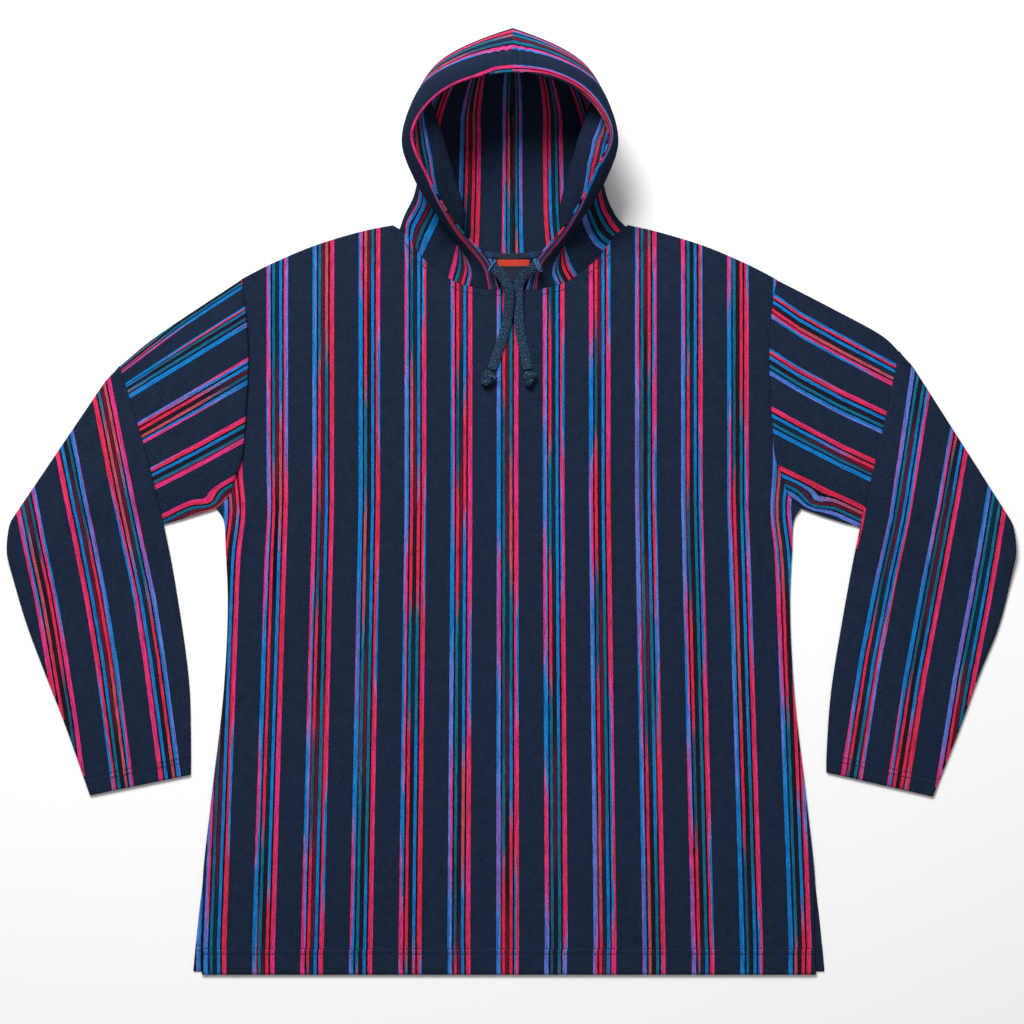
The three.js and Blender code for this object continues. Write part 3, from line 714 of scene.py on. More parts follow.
# Sleeves
# Each sleeve is one piece folded lengthwise along the arm, with its seam underneath, and sewn in flat at a
# dropped shoulder. It lies folded over at the elbow, so its lower half shows the back of the sleeve.
SLEEVES = {
    "left": {
        "side": -1,
        "dye_from": 3.1,
        "fold_top": (-411.5, 142),
        "fold_under": (-534.5, -40),
        "upper_top": [(-363.5, 180.1), (-384.3, 165)],
        "upper_under": [(-332.1, -14.2), (-365.4, -23.6), (-440, -38)],
        "lower_top": [
            (-386.1, 60.4), (-365.2, -23.6), (-350.1, -106), (-338.8, -190.6), (-337, -246.2),
            (-337, -286.1),
        ],
        "lower_under": [(-512, -121), (-491, -178), (-469.5, -233), (-443.2, -307.8)],
    },
    "right": {
        "side": 1,
        "dye_from": 5.7,
        "fold_top": (406, 157.5),
        "fold_under": (532.5, -41),
        "upper_top": [(332.9, 204.2), (391.1, 172)],
        "upper_under": [(328.7, -16.3), (364.1, -26.5), (440, -40)],
        "lower_top": [
            (391.1, 87.7), (376.6, 25.7), (364.9, -26.4), (346.3, -126.5), (334.5, -202.1), (330.2, -262),
            (329.7, -283.5),
        ],
        "lower_under": [(512.4, -126.5), (491, -180.6), (471.5, -234.2), (442.1, -309.2)],
    },
}
# The middle of each group of stripes on the two faces that show. On the upper half the groups are listed
# downward from the folded edge, on the lower half outward from the inner edge.
UPPER_GROUPS = {
    "left": [
        [(-285.6, 230.5), (-345.4, 190.8), (-406.4, 142.5)],
        [(-281.4, 194.8), (-343.4, 156.5), (-403.2, 119.7)],
        [(-278.2, 136), (-332.9, 104), (-388.5, 71.9)],
        [(-281.4, 74), (-327.6, 48.8), (-375.9, 24.2)],
        [(-294, 13.1), (-327.6, -5.8), (-364.4, -24.7)],
    ],
    "right": [
        [(276.2, 203.2), (302.4, 185.3), (344.4, 162.2), (399, 133.9)],
        [(270.9, 146), (302.4, 126.5), (344.4, 104), (387.4, 84)],
        [(271.9, 86.1), (302.4, 69.8), (344.4, 47.8), (378, 32)],
        [(278.2, 25.2), (323.4, 4.7), (368.6, -16.8)],
    ],
}
LOWER_GROUPS = {
    "left": [
        [
            (-427.9, 106.6), (-414.8, 43.6), (-397.9, -40.4), (-384.8, -103.4), (-374.9, -166.4),
            (-359.1, -287.2),
        ],
        [(-467.2, 54.1), (-447.3, -40.4), (-435.8, -103.4), (-425.2, -166.4), (-408.5, -297.7)],
        [(-508.7, -3.7), (-488.2, -103.4), (-480.9, -145.4), (-467.2, -229.4), (-462, -271.4)],
    ],
    "right": [
        [(425.2, 106.6), (411.6, 22.6), (405.3, -19.4), (391.7, -82.4), (375.4, -166.4), (356.5, -287.2)],
        [(466.7, 54.1), (452.6, -19.4), (437.3, -103.4), (421.6, -187.4), (404.8, -297.7)],
        [(504.5, -19.4), (490.4, -103.4), (474.1, -187.4), (460.4, -271.4)],
    ],
}
SLEEVE_TUBE = 2 * CLOTH + LAYER_GAP
FOLD_AXIS = SLEEVE_TUBE + LAYER_GAP / 2
SLEEVE_CELL = 5.0
UNDER_CORNER = 52.0
ROUND_STEPS = 6
ACROSS_CELLS = 44
FOLD_STEPS = 9
FOLD_TIP = 0.12
CUFF_DEPTH = 19
CUFF_ROWS = (CUFF_DEPTH - 5.4, CUFF_DEPTH)
CUFF_RISE = 0.45
CUFF_GROOVE = {"deep": 0.3, "half": 0.9}
CUFF_STEPS = (*EDGE_STEPS, *np.arange(5, CUFF_DEPTH + 6, 1.5))
UPPER_PUFF = 4.0
LOWER_PUFF = 3.0
LOWER_FIRST_GROUP = 20
PUCKER = {"at": (317, -1), "half": (14, 10), "shift": 0.17}


def line_value(line, at, known, wanted):
    """Where a line passes given places, in its other direction. Past its ends it goes straight on."""
    line = np.asarray(line, float)
    line = line[np.argsort(line[:, known])]
    x, y = line[:, known], line[:, wanted]
    inside = np.interp(at, x, y)
    before = y[0] + (at - x[0]) * (y[1] - y[0]) / (x[1] - x[0])
    after = y[-1] + (at - x[-1]) * (y[-1] - y[-2]) / (x[-1] - x[-2])
    return np.where(at < x[0], before, np.where(at > x[-1], after, inside))


def groups_between(lines, places, known):
    """Which group each place is in, from the middles of the groups on both sides of it."""
    wanted = 1 - known
    middles = np.stack([line_value(line, places[..., known], known, wanted) for line in lines])
    value = places[..., wanted]
    forward = np.sign(middles[1] - middles[0])
    number = (value - middles[0]) / (middles[1] - middles[0])
    for k in range(1, len(lines)):
        step = middles[k] - middles[k - 1]
        past = (value - middles[k]) * forward > 0
        further = k + (value - middles[k]) / (middles[k + 1] - middles[k] if k + 1 < len(lines) else step)
        number = np.where(past, further, number)
    return number


def round_corner(grid, corner, ends, radius):
    """Pull in what lies by the corner between two edges, so that it is round seen from above."""
    first, second = (unit(end - corner) for end in ends)
    half_angle = math.acos(first @ second) / 2
    centre = corner + unit(first + second) * radius / math.sin(half_angle)
    outward = [unit(corner + edge * (edge @ (centre - corner)) - centre) for edge in (first, second)]
    away = grid[..., :2] - centre
    distance = np.linalg.norm(away, axis=-1, keepdims=True)
    heading = away / np.maximum(distance, 1e-6)
    facing = np.maximum(heading @ outward[0], heading @ outward[1])[..., None]
    edge_distance = radius / np.maximum(facing, 0.2)
    kept = radius * 0.5
    pulled = kept + (distance - kept) * (radius - kept) / (edge_distance - kept)
    by_corner = heading @ unit(corner - centre) > math.sin(half_angle)
    use = by_corner[..., None] & (distance > kept)
    grid[..., :2] = np.where(use, centre + heading * pulled, grid[..., :2])


def sleeve(side_name, table):
    side = table["side"]
    armhole = smooth_line(mirrored(ARMHOLE, side, BODY_CENTRE))[::-1] + (side * 0.3, 0)
    fold_top, fold_under = (np.asarray(table[key], float) for key in ("fold_top", "fold_under"))
    fold_line = np.stack([fold_top, fold_under])
    cuff_line = np.array([table["lower_top"][-1], table["lower_under"][-1]], float)
    upper_edge = [armhole[0], *table["upper_top"], fold_top]
    lower_edge = [armhole[-1], *table["upper_under"], fold_under]
    run = fold_under - fold_top
    outward = np.array([run[1], -run[0]]) / np.linalg.norm(run)
    outward = outward * np.sign(outward[0] * side)
    inner_edge, outer_edge = [fold_top, *table["lower_top"]], [fold_under, *table["lower_under"]]
    strips = []
    for start, end, first, last, near_end in (
        (armhole, fold_line, upper_edge, lower_edge, ()),
        (fold_line, cuff_line, inner_edge, outer_edge, CUFF_STEPS),
    ):
        first, last = smooth_line(first), smooth_line(last)
        mean = (lengths_along(first)[-1] + lengths_along(last)[-1]) / 2
        shares = graded(mean, SLEEVE_CELL, (), near_end)
        strips.append((start, end, points_at(first, shares), points_at(last, shares), shares, mean))

    def lies_on(places):
        """How far the upper half's puffed top lifts what lies on it."""
        down = line_value(upper_edge, places[..., 0], 0, 1) - places[..., 1]
        up = places[..., 1] - line_value(lower_edge, places[..., 0], 0, 1)
        inward = (fold_top - places) @ outward
        return UPPER_PUFF * smooth_step(down, 0, 45) * smooth_step(up, 0, 45) * smooth_step(inward, 0, 60)

    def comes_down(places):
        """How far the lower half sinks to the surface past the upper half's lower edge."""
        below = line_value(lower_edge, places[..., 0], 0, 1) - places[..., 1]
        return (SLEEVE_TUBE + LAYER_GAP) * smooth_step(below, 4, 60)

    def ring(width, inset):
        """Shares across and heights, once round the flattened sleeve."""
        radius = SLEEVE_TUBE / 2
        small = radius - inset
        flat = np.linspace(radius, width - radius, ACROSS_CELLS + 1)
        turn = np.linspace(-math.pi / 2, math.pi / 2, ROUND_STEPS + 1)[1:-1]
        under = [(d, inset) for d in flat]
        under_bend = [(width - radius + small * math.cos(a), radius + small * math.sin(a)) for a in turn]
        top = [(d, SLEEVE_TUBE - inset) for d in flat[::-1]]
        top_bend = [(radius - small * math.cos(a), radius - small * math.sin(a)) for a in turn]
        section = np.array(under + under_bend + top + top_bend)
        return np.clip(section[:, 0] / width, 0, 1), section[:, 1]

    def skin(inset):
        """Rows of points round the sleeve: on the upper half, on the fold at the elbow, on the lower half."""
        upper, fold, lower = [], [], []
        for half, (start, end, first, last, shares, mean) in enumerate(strips):
            corners = (start[0], start[-1], end[0], end[-1])
            for i in range(half, len(shares)):
                w, up = ring(np.linalg.norm(last[i] - first[i]), inset)
                edges = (points_at(start, w), points_at(end, w), first[i : i + 1], last[i : i + 1])
                place = filled(*edges, shares[i : i + 1], w, corners)[0]
                share_up = smooth_step(up, 0, SLEEVE_TUBE)
                lift = lies_on(place)
                if half == 0:
                    high = up + share_up * lift
                else:
                    from_fold, from_cuff = shares[i] * mean, (1 - shares[i]) * mean
                    own = LOWER_PUFF * (4 * w * (1 - w)) ** 0.6
                    own = own * smooth_step(from_fold, 0, 70) * smooth_step(from_cuff, -10, 90)
                    high = 2 * FOLD_AXIS - up - comes_down(place) + lift + (1 - share_up) * own
                    if inset == 0:
                        facing = np.where(share_up < 0.5, 1, -1)
                        sunk = CUFF_GROOVE["deep"] * grooves(from_cuff, CUFF_ROWS, CUFF_GROOVE["half"])
                        high = high + facing * (CUFF_RISE * turned_hem(from_cuff, CUFF_DEPTH) - sunk)
                (upper, lower)[half].append(np.column_stack([place, high]))
        width = np.linalg.norm(run)
        w, up = ring(width, inset)
        radius = FOLD_AXIS - up
        bulge = FOLD_TIP + (1 - FOLD_TIP) * smooth_step(np.minimum(w, 1 - w) * width, 0, 24)
        for turn in np.linspace(0, math.pi, FOLD_STEPS + 1)[1:-1]:
            place = points_at(fold_line, w) + outward * (bulge * radius * math.sin(turn))[:, None]
            fold.append(np.column_stack([place, FOLD_AXIS - radius * math.cos(turn)]))
        return np.stack(upper + fold + lower)

    outer, inner = skin(0), skin(CLOTH)
    for grid in (outer, inner):
        round_corner(grid, fold_under, (fold_top, table["lower_under"][0]), UNDER_CORNER)

    # The underside's columns come first, then a bend, the top's columns and the other bend
    fold_start = len(strips[0][-2])
    lower_start = fold_start + FOLD_STEPS - 1
    count = ACROSS_CELLS + 1
    top_start = count + ROUND_STEPS - 1
    top_end = top_start + count
    on_top = outer[:fold_start, top_start:top_end, :2]
    pucker = (on_top - (side * PUCKER["at"][0], PUCKER["at"][1])) / PUCKER["half"]
    number = np.zeros((len(outer), outer.shape[1] + 1))
    number[:fold_start, top_start:top_end] = (
        PUCKER["shift"] * np.exp(-(pucker[..., 0] ** 2) - pucker[..., 1] ** 2)
        - groups_between(UPPER_GROUPS[side_name], on_top, 0)
    )
    number[fold_start:, top_start:top_end] = number[fold_start - 1, top_start:top_end]
    below = outer[fold_start:, :count, :2]
    number[fold_start:, :count] = groups_between(LOWER_GROUPS[side_name], below, 1) + LOWER_FIRST_GROUP
    number[:fold_start, :count] = number[lower_start, :count]
    for bend, upper_column, lower_column in (
        (slice(count, top_start), top_start, count - 1),
        (slice(top_end, -1), top_end - 1, 0),
    ):
        number[:fold_start, bend] = number[:fold_start, upper_column, None]
        number[fold_start:, bend] = number[fold_start:, lower_column, None]
    number[:, -1] = number[:, 0]
    along = lengths_along(outer[:, count // 2]) * 0.001 + table["dye_from"]
    pattern = np.dstack(np.broadcast_arrays(number, along[:, None]))
    return shell(f"sleeve_{side_name}_cloth", outer, inner, pattern, pattern, loop=True)


sleeves = {}
for side_name, table in SLEEVES.items():
    piece = sleeve(side_name, table)
    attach(piece, "root")
    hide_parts(f"sleeve_{side_name}")
    sleeves[side_name] = piece

# Hood
# Two halves of the same cloth, joined over the crown and down the back, and sewn to the neck. The front edge
# is turned in as a deep hem and stitched as a casing for the cord. It stands open like a bowl.
HOOD_CENTRE = 0.7
NECK_GAP = 0.6
CROWN_GAP = 0.15
# Ribs of the hood by their length from the rim, each with its stations from the neck up to the crown
HOOD_RIBS = {
    0: [(24.5, 250.5, 18), (57.8, 288, 42), (86, 335, 76), (101, 380, 98), (68, 421, 108), (0, 439, 112)],
    21: [(42, 243, 9), (63, 281, 26), (96, 331, 62), (108, 373, 84), (88, 428, 100), (0, 462, 103)],
    60: [(76, 262, 10), (53, 294, 24), (57, 328, 42), (69, 370, 62), (84, 440, 76), (0, 486, 75)],
    100: [(111, 298, 6), (100, 318, 12), (95, 348, 20), (96, 388, 32), (77, 444, 38), (0, 487, 45)],
    142: [(79, 300, 1.2), (77, 335, 3), (75, 370, 5), (71, 405, 8), (49, 452, 14), (0, 483, 22)],
    184: [(38, 295, 0.8), (37, 335, 0.8), (36.5, 375, 1.2), (36, 415, 1.6), (27, 456, 4), (0, 477, 8)],
    226: [(0, 292, 0.75), (0, 332, 0.75), (0, 372, 0.75), (0, 412, 0.75), (0, 446, 0.75), (0, 470, 1.5)],
}
HOOD_NECK_FRONT = [(0, 13.5), (21, 44.5), (45, 68.5), (69, 94.5), (92, 112), (96, 117)]
HOOD_NECK_BACK = [(104, 117), (142, 80), (184, 40), (226, 0)]
HAIRPIN = {"from": 96, "to": 104, "radius": 1}
HOOD_COLUMNS = [(0, 10, 0.45), (10, 21, 1.2), (21, 96, 2.5), (96, 104, 1), (104, 226, 4)]
CLOSE_COLUMNS = (20.5, 21, 21.6, 44, 45, 46, 225, 226)
HOOD_ROWS = 130
RIB_LENGTH = 300
CROWN_STEPS = tuple(np.arange(0.8, 34, 1.2))
CASING_WIDTH = 21
CASING_THICKNESS = 6
HEM_IN = 46
HEM_IN_THICKNESS = 0.9
# Each side: how wide it spreads, the gathers that run up from the neck seam (place, half width and depth) and
# how far the turned-in hem's striped face rolls over the rim: share of the way from the neck to the crown,
# width on the outside of the casing, and how far in from the fold the hem is where it comes over the edge
HOODS = {
    "left": {
        "side": -1,
        "dye_from": 8.3,
        "first_group": 60,
        "spread": 1.02,
        "gathers": [(34, 5, 1.8), (56, 6, 2.6), (82, 6, 2.2)],
        "rolled_over": [
            (0, 8, 24), (0.14, 8, 24), (0.44, 2.5, 2), (0.68, 2, 3), (0.88, 2, 3), (0.95, 6, 9), (1, 6, 9),
        ],
    },
    "right": {
        "side": 1,
        "dye_from": 11.9,
        "first_group": 80,
        "spread": 0.97,
        "gathers": [(38, 6, 2.4), (62, 5, 2.0), (85, 6, 2.4)],
        "rolled_over": [
            (0, 8, 24), (0.14, 8, 24), (0.42, 3, 2), (0.5, 3, 2), (0.62, 8, 14), (0.88, 8, 14), (1, 6, 9),
        ],
    },
}
# Tucks by the crown's seam: distance from it and depth
TUCKS = [(0, 1), (5.5, 2.4), (13, 2), (21, 1)]
TUCK_HALF = 1.5
TUCK_LENGTH = 34
# Stripe places in millimetres before the first group's middle: on the hem's fold, outside and inside
FOLD_STRIPE = 36
OUTSIDE_STRIPE = 33
INSIDE_STRIPE = 32
# Where the hem's striped face comes out on the inside: length from the rim and distance in from the fold
INSIDE_HEM = [(0, 0), (29, 0), (44, 24.4), (60, 46)]
DEEPEST_HEM = 47
# Where the outside's stripes lie by the neck, where the cloth is gathered into the seam
OUTSIDE_GROUPS = [(0, 0), (45, 43), (78, 69), (97, 93.5), (110, 110), (226, 226)]
CROWN_STRETCH = 0.55


def uniform_curve(points, t):
    """Points on the uniform smooth curve through the given ones, at each t from 0 to 1."""
    given = np.asarray(points, float)
    at = np.asarray(t) * (len(given) - 1)
    cell = np.minimum(at.astype(int), len(given) - 2)
    w = (at - cell)[:, None]
    given = np.vstack([2 * given[0] - given[1], given, 2 * given[-1] - given[-2]])
    a, b, c, d = (given[cell + k] for k in range(4))
    return 0.5 * (2 * b + (c - a) * w + (2 * a - 5 * b + 4 * c - d) * w**2 + (3 * b - a - 3 * c + d) * w**3)


def neck_height(neck, x):
    half = smooth_line(neck)
    return np.interp(np.abs(x - NECK_CENTRE), half[:, 0], half[:, 1])


def hood_neck_point(cloth, side):
    """Where a length of the hood's lower edge meets the neck seam."""
    front_middle, back_middle = FRONT_BASE + CLOTH / 2, CLOTH / 2
    if cloth <= HAIRPIN["from"]:
        out = np.interp(cloth, *zip(*HOOD_NECK_FRONT))
        neck, high = FRONT_NECK, front_middle
    elif cloth >= HAIRPIN["to"]:
        out = np.interp(cloth, *zip(*HOOD_NECK_BACK))
        neck, high = BACK_NECK, back_middle
    else:
        turn = math.pi * (cloth - HAIRPIN["from"]) / (HAIRPIN["to"] - HAIRPIN["from"])
        out = HOOD_NECK_BACK[0][1] + HAIRPIN["radius"] * math.sin(turn)
        neck = FRONT_NECK if turn < math.pi / 2 else BACK_NECK
        high = (front_middle + back_middle) / 2 + HAIRPIN["radius"] * math.cos(turn)
    x = HOOD_CENTRE + side * out
    return (x, float(neck_height(neck, x)) + NECK_GAP, high)


def hood_half(side, spread):
    """The middle of the cloth: rows of points from the neck seam to the crown, columns from the rim back."""
    columns = np.unique(np.concatenate([*(np.arange(*steps) for steps in HOOD_COLUMNS), CLOSE_COLUMNS]))
    t = np.interp(columns, list(HOOD_RIBS), np.linspace(0, 1, len(HOOD_RIBS)))
    stations = []
    for ribs in zip(*HOOD_RIBS.values()):
        x, y, z = uniform_curve(np.multiply(ribs, (spread, 1, 1)), t).T
        x, z = HOOD_CENTRE + side * np.maximum(0, x), np.maximum(CLOTH / 2, z)
        stations.append(np.stack([x, y, z], axis=-1))
    shares = graded(RIB_LENGTH, RIB_LENGTH / HOOD_ROWS, CORNER_STEPS, CROWN_STEPS)
    lines = []
    for j, cloth in enumerate(columns):
        line = [hood_neck_point(cloth, side), *[station[j] for station in stations]]
        peak = np.interp(cloth, (0, 60), (0.12, 0.6))
        before, last = line[-2:]
        mirror = before * (-1, 1, 1) + (2 * HOOD_CENTRE, 0, 0)
        line.append((1 - peak) * mirror + peak * (2 * last - before))
        lines.append(points_at(smooth_line(line)[:-CURVE_STEPS], shares))
    return np.stack(lines, axis=1), columns, shares


hoods = {}
for side_name, table in HOODS.items():
    side = table["side"]
    middle, columns, shares = hood_half(side, table["spread"])
    up = shares[:, None]
    normals = unit(np.cross(np.gradient(middle, axis=1), np.gradient(middle, axis=0)))
    normals[:, -1, 0] = 0
    normals[-1, :, 0] = 0
    normals = unit(normals)
    on_casing = columns < CASING_WIDTH
    roll = np.where(on_casing, np.sin(math.pi * np.clip(columns, 0, CASING_WIDTH) / CASING_WIDTH), 0)
    half = (CLOTH + (CASING_THICKNESS - CLOTH) * roll * smooth_step(up, 0, 0.25)) / 2
    turned_in = smooth_step(HEM_IN - columns, 0, 1.5) * HEM_IN_THICKNESS * smooth_step(up, 0, 0.06)
    from_crown = (1 - up) * RIB_LENGTH
    tucks = sum(deep * np.exp(-(((from_crown - place) / TUCK_HALF) ** 2)) for place, deep in TUCKS)
    tucks = tucks * np.sin(math.pi * np.clip(columns / TUCK_LENGTH, 0, 1))
    gathers = sum(deep * np.exp(-(((columns - place) / wide) ** 2)) for place, wide, deep in table["gathers"])
    gathers = gathers * (smooth_step(up, 0, 0.05) * (1 - smooth_step(up, 0.14, 0.42)))
    middle = middle - normals * (side * gathers)[..., None]
    outer = middle + normals * (side * (half - tucks))[..., None]
    inner = middle - normals * (side * (half + turned_in * (1 - roll) + tucks * 0.6))[..., None]
    edge = HOOD_CENTRE + side * CROWN_GAP
    for grid in (outer, inner):
        grid[..., 0] = np.minimum(grid[..., 0], edge) if side < 0 else np.maximum(grid[..., 0], edge)
        grid[..., 2] = np.maximum(grid[..., 2], 0)

    along = lengths_along(middle[:, len(columns) // 3]) * 0.001 + table["dye_from"]
    share_at, widths, at_edges = zip(*table["rolled_over"])
    rolled, at_edge = np.interp(up, share_at, widths), np.interp(up, share_at, at_edges)
    stretch = 1 + CROWN_STRETCH * smooth_step(up, 0.62, 0.95)
    on_outside = np.where(on_casing, columns, CASING_WIDTH + (columns - CASING_WIDTH) / stretch)
    squeezed = smooth_step(up, 0.02, 0.22) * (1 - smooth_step(up, 0.45, 0.6))
    on_outside = on_outside + squeezed * (np.interp(columns, *zip(*OUTSIDE_GROUPS)) - columns)
    over_edge = -at_edge * (1 - np.clip(columns / rolled, 0, 1)) - FOLD_STRIPE
    to_outside = FOLD_STRIPE + CASING_WIDTH - OUTSIDE_STRIPE
    past_edge = -FOLD_STRIPE + (columns - rolled) / (CASING_WIDTH - rolled) * to_outside
    outside = np.where(on_casing, past_edge, on_outside - OUTSIDE_STRIPE)
    outside = np.where(columns < rolled, over_edge, outside)
    inside = columns - INSIDE_STRIPE
    hem = -np.minimum(at_edge + np.interp(columns, *zip(*INSIDE_HEM)), DEEPEST_HEM) - FOLD_STRIPE
    outside, inside, hem = (
        np.dstack(np.broadcast_arrays(place / GROUP_PITCH + table["first_group"], along[:, None], roll)[:2])
        for place in (outside, inside, hem)
    )
    past_hem = ((columns[:-1] + columns[1:]) / 2 > INSIDE_HEM[-1][0])[None, :, None, None]
    inner_pattern = np.where(past_hem, cells(inside), cells(hem))
    piece = shell(f"hood_{side_name}_cloth", outer, inner, outside, inner_pattern)
    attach(piece, "root")
    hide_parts(f"hood_{side_name}")
    hoods[side_name] = (piece, outer, inner, columns)

# Neck tape
# A narrow woven cotton tape with a herringbone face, sewn over the seam that joins the hood to the back neck.
SEAM_GAP = 0.3
TAPE = {"half_length": 56, "width": 6, "thickness": 1}
TAPE_DARK = (8, 14, 26)
TAPE_FLECK = (62, 78, 98)
TAPE_BLUE = (40, 104, 168)


def tape_finish():
    """Herringbone: short slanted threads that change sides at each row, and a blue thread here and there."""
    tape = Finish("herringbone_tape")
    across, along = tape.pattern()
    slanted = (along * 3.1 + (across * math.pi / 1.5).cosine() * 2.2).cosine()
    uneven = tape.noise(across * 1.4, along * 0.8, detail=3.0)
    light = (slanted * 0.3 + uneven).between(0.45, 0.95)
    blue = tape.noise(along * 0.11 + 31, 0.0, detail=0.0).between(0.62, 0.68)
    fleck = tape.mix(blue, linear(TAPE_FLECK), linear(TAPE_BLUE))
    colour = tape.mix(light, linear(TAPE_DARK), fleck)
    height = slanted * 0.4 + uneven
    return tape.surface(height, 0.0002, Base_Color=colour, Roughness=0.85, Specular_IOR_Level=0.12)


tape_x = np.linspace(-TAPE["half_length"], TAPE["half_length"], 90)
tape_v = np.array([-0.5, -0.44, -0.2, 0, 0.2, 0.44, 0.5])
tape_line = [(NECK_CENTRE + x, neck_height(BACK_NECK, NECK_CENTRE + x)) for x in tape_x]
tape_place = np.array([[(x, y + v * TAPE["width"]) for x, y in tape_line] for v in tape_v])
tape_low = np.full(tape_place.shape[:2], CLOTH + SEAM_GAP)
tape_high = tape_low + TAPE["thickness"] * (1 - 0.25 * smooth_step(np.abs(tape_v), 0.4, 0.5))[:, None]
tape_pattern = np.dstack(np.broadcast_arrays((tape_v * TAPE["width"])[:, None], tape_x[None]))
tape_faces = (np.dstack([tape_place, tape_high]), np.dstack([tape_place, tape_low]))
tape = shell("neck_tape_weave", *tape_faces, tape_pattern, tape_pattern, material=tape_finish())
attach(tape, "root")
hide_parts("neck_tape")

# Label
# A bare woven label sewn under the tape at the back neck: dark ground with an orange-red band along its top.
LABEL = {"width": 33, "height": 24, "thickness": 0.9, "x": 1.6}
LABEL_GROUND = (10, 22, 34)
LABEL_THREAD = (26, 42, 56)
LABEL_BAND = (206, 66, 38)
LABEL_BAND_DARK = (150, 34, 30)
LABEL_BAND_HEIGHT = 6.4
LABEL_RIB = 0.55
LABEL_CURL = 0.5


def label_finish():
    """Damask weave with fine ribs, and the band along the top."""
    woven = Finish("woven_label")
    across, down = woven.pattern()
    ribs = (down * (2 * math.pi / LABEL_RIB)).cosine() * 0.5 + 0.5
    uneven = woven.noise(across * 0.9, down * 4, detail=3.0)
    ground = woven.mix((uneven + ribs * 0.3).between(0.4, 0.95), linear(LABEL_GROUND), linear(LABEL_THREAD))
    band = woven.mix((uneven + ribs * 0.2).between(0.4, 0.8), linear(LABEL_BAND_DARK), linear(LABEL_BAND))
    edge = down + (uneven - 0.5) * 0.8
    colour = woven.mix(edge.between(LABEL_BAND_HEIGHT + 0.3, LABEL_BAND_HEIGHT - 0.3), ground, band)
    height = ribs * 0.6 + uneven
    return woven.surface(height, 0.00015, Base_Color=colour, Roughness=0.7, Specular_IOR_Level=0.2)


label_top = BACK_NECK[0][1] - TAPE["width"] / 2 - SEAM_GAP
label_x = np.linspace(-0.5, 0.5, 34) * LABEL["width"]
label_down = np.linspace(0, 1, 26) * LABEL["height"]
label_place = np.stack(np.meshgrid(LABEL["x"] + label_x, label_top - label_down), axis=-1)
to_side = 2 * np.abs(label_x) / LABEL["width"]
curl = LABEL_CURL * (label_down / LABEL["height"])[:, None] ** 2 * to_side**3
label_low = CLOTH + SEAM_GAP + curl
label_pattern = np.stack(np.meshgrid(label_x, label_down), axis=-1)
label_faces = (np.dstack([label_place, label_low + LABEL["thickness"]]), np.dstack([label_place, label_low]))
label = shell("label_weave", *label_faces, label_pattern, label_pattern, material=label_finish())
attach(label, "root")
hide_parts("label")

# Eyelets
# Two sewn eyelets in the casing by the throat, whose light-blue buttonhole thread shows round the cords.
EYELET_PLACE = 3
EYELET_HALF_WIDTH = 7
EYELET_HALF_HEIGHT = 3.6
EYELET_THREAD = 1.0
EYELET_PITCH = 0.9
EYELET_BLUE = (70, 134, 186)
EYELET_DARK = (22, 44, 70)

eyelet = Finish("eyelet_thread")
eyelet_around, eyelet_along = eyelet.pattern()
eyelet_turns = (eyelet_along * (2 * math.pi / EYELET_PITCH) + eyelet_around * 1.3).cosine() * 0.5 + 0.5
eyelet_material = eyelet.surface(
    eyelet_turns,
    0.0003,
    Base_Color=eyelet.mix(eyelet_turns, linear(EYELET_DARK), linear(EYELET_BLUE)),
    Roughness=0.7,
    Specular_IOR_Level=0.2,
)
eyelets = []
for side_name, (cord, line, length) in cords.items():
    centre = line[EYELET_PLACE]
    along = unit(line[EYELET_PLACE + 1] - line[EYELET_PLACE - 1])
    across = unit(np.array([along[1], -along[0], 0]))
    upward = np.cross(across, along)
    turn = np.linspace(0, 2 * math.pi, 61)
    wide, high = EYELET_HALF_WIDTH * np.cos(turn), EYELET_HALF_HEIGHT * np.sin(turn)
    loop = centre + np.outer(wide, across) + np.outer(high, upward)
    out = unit(loop - centre)
    small = np.linspace(0, 2 * math.pi, 10, endpoint=False)
    rings = (
        loop[:, None]
        + out[:, None] * (EYELET_THREAD * np.cos(small))[None, :, None]
        + along[None, None] * (EYELET_THREAD * np.sin(small))[None, :, None]
    )
    ring = closed_tube(f"eyelet_{side_name}_thread", rings, eyelet_material)
    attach(ring, "root")
    eyelets.append(ring)

# Stitches
# Lockstitch in dark cotton thread: two rows on each hem and cuff, one beside the casing and one under the
# neck seam, each stitch a small bead set by Geometry Nodes.
STITCH_PITCH = 2.9
STITCH_SIZE = (0.55, 0.5, 1.25)
STITCH_DARK = (8, 12, 26)
STITCH_LIGHT = (34, 46, 70)
STITCH_LIFT = 0.12
HOOD_STITCH_LIFT = 0.15
NECK_ROW = 6
NECK_ROW_ENDS = 6
STITCH_NODES = {
    "given": "NodeGroupInput",
    "curve": "GeometryNodeMeshToCurve",
    "spots": "GeometryNodeCurveToPoints",
    "bead": "GeometryNodeMeshUVSphere",
    "shaped": "GeometryNodeTransform",
    "placed": "GeometryNodeInstanceOnPoints",
    "real": "GeometryNodeRealizeInstances",
    "coloured": "GeometryNodeSetMaterial",
    "result": "NodeGroupOutput",
}
STITCH_LINKS = [
    ("given", "Lines", "curve", "Mesh"),
    ("curve", "Curve", "spots", "Curve"),
    ("given", "Pitch", "spots", "Length"),
    ("bead", "Mesh", "shaped", "Geometry"),
    ("given", "Size", "shaped", "Scale"),
    ("spots", "Points", "placed", "Points"),
    ("spots", "Rotation", "placed", "Rotation"),
    ("shaped", "Geometry", "placed", "Instance"),
    ("placed", "Instances", "real", "Geometry"),
    ("real", "Geometry", "coloured", "Geometry"),
    ("given", "Thread", "coloured", "Material"),
    ("coloured", "Geometry", "result", "Stitches"),
]

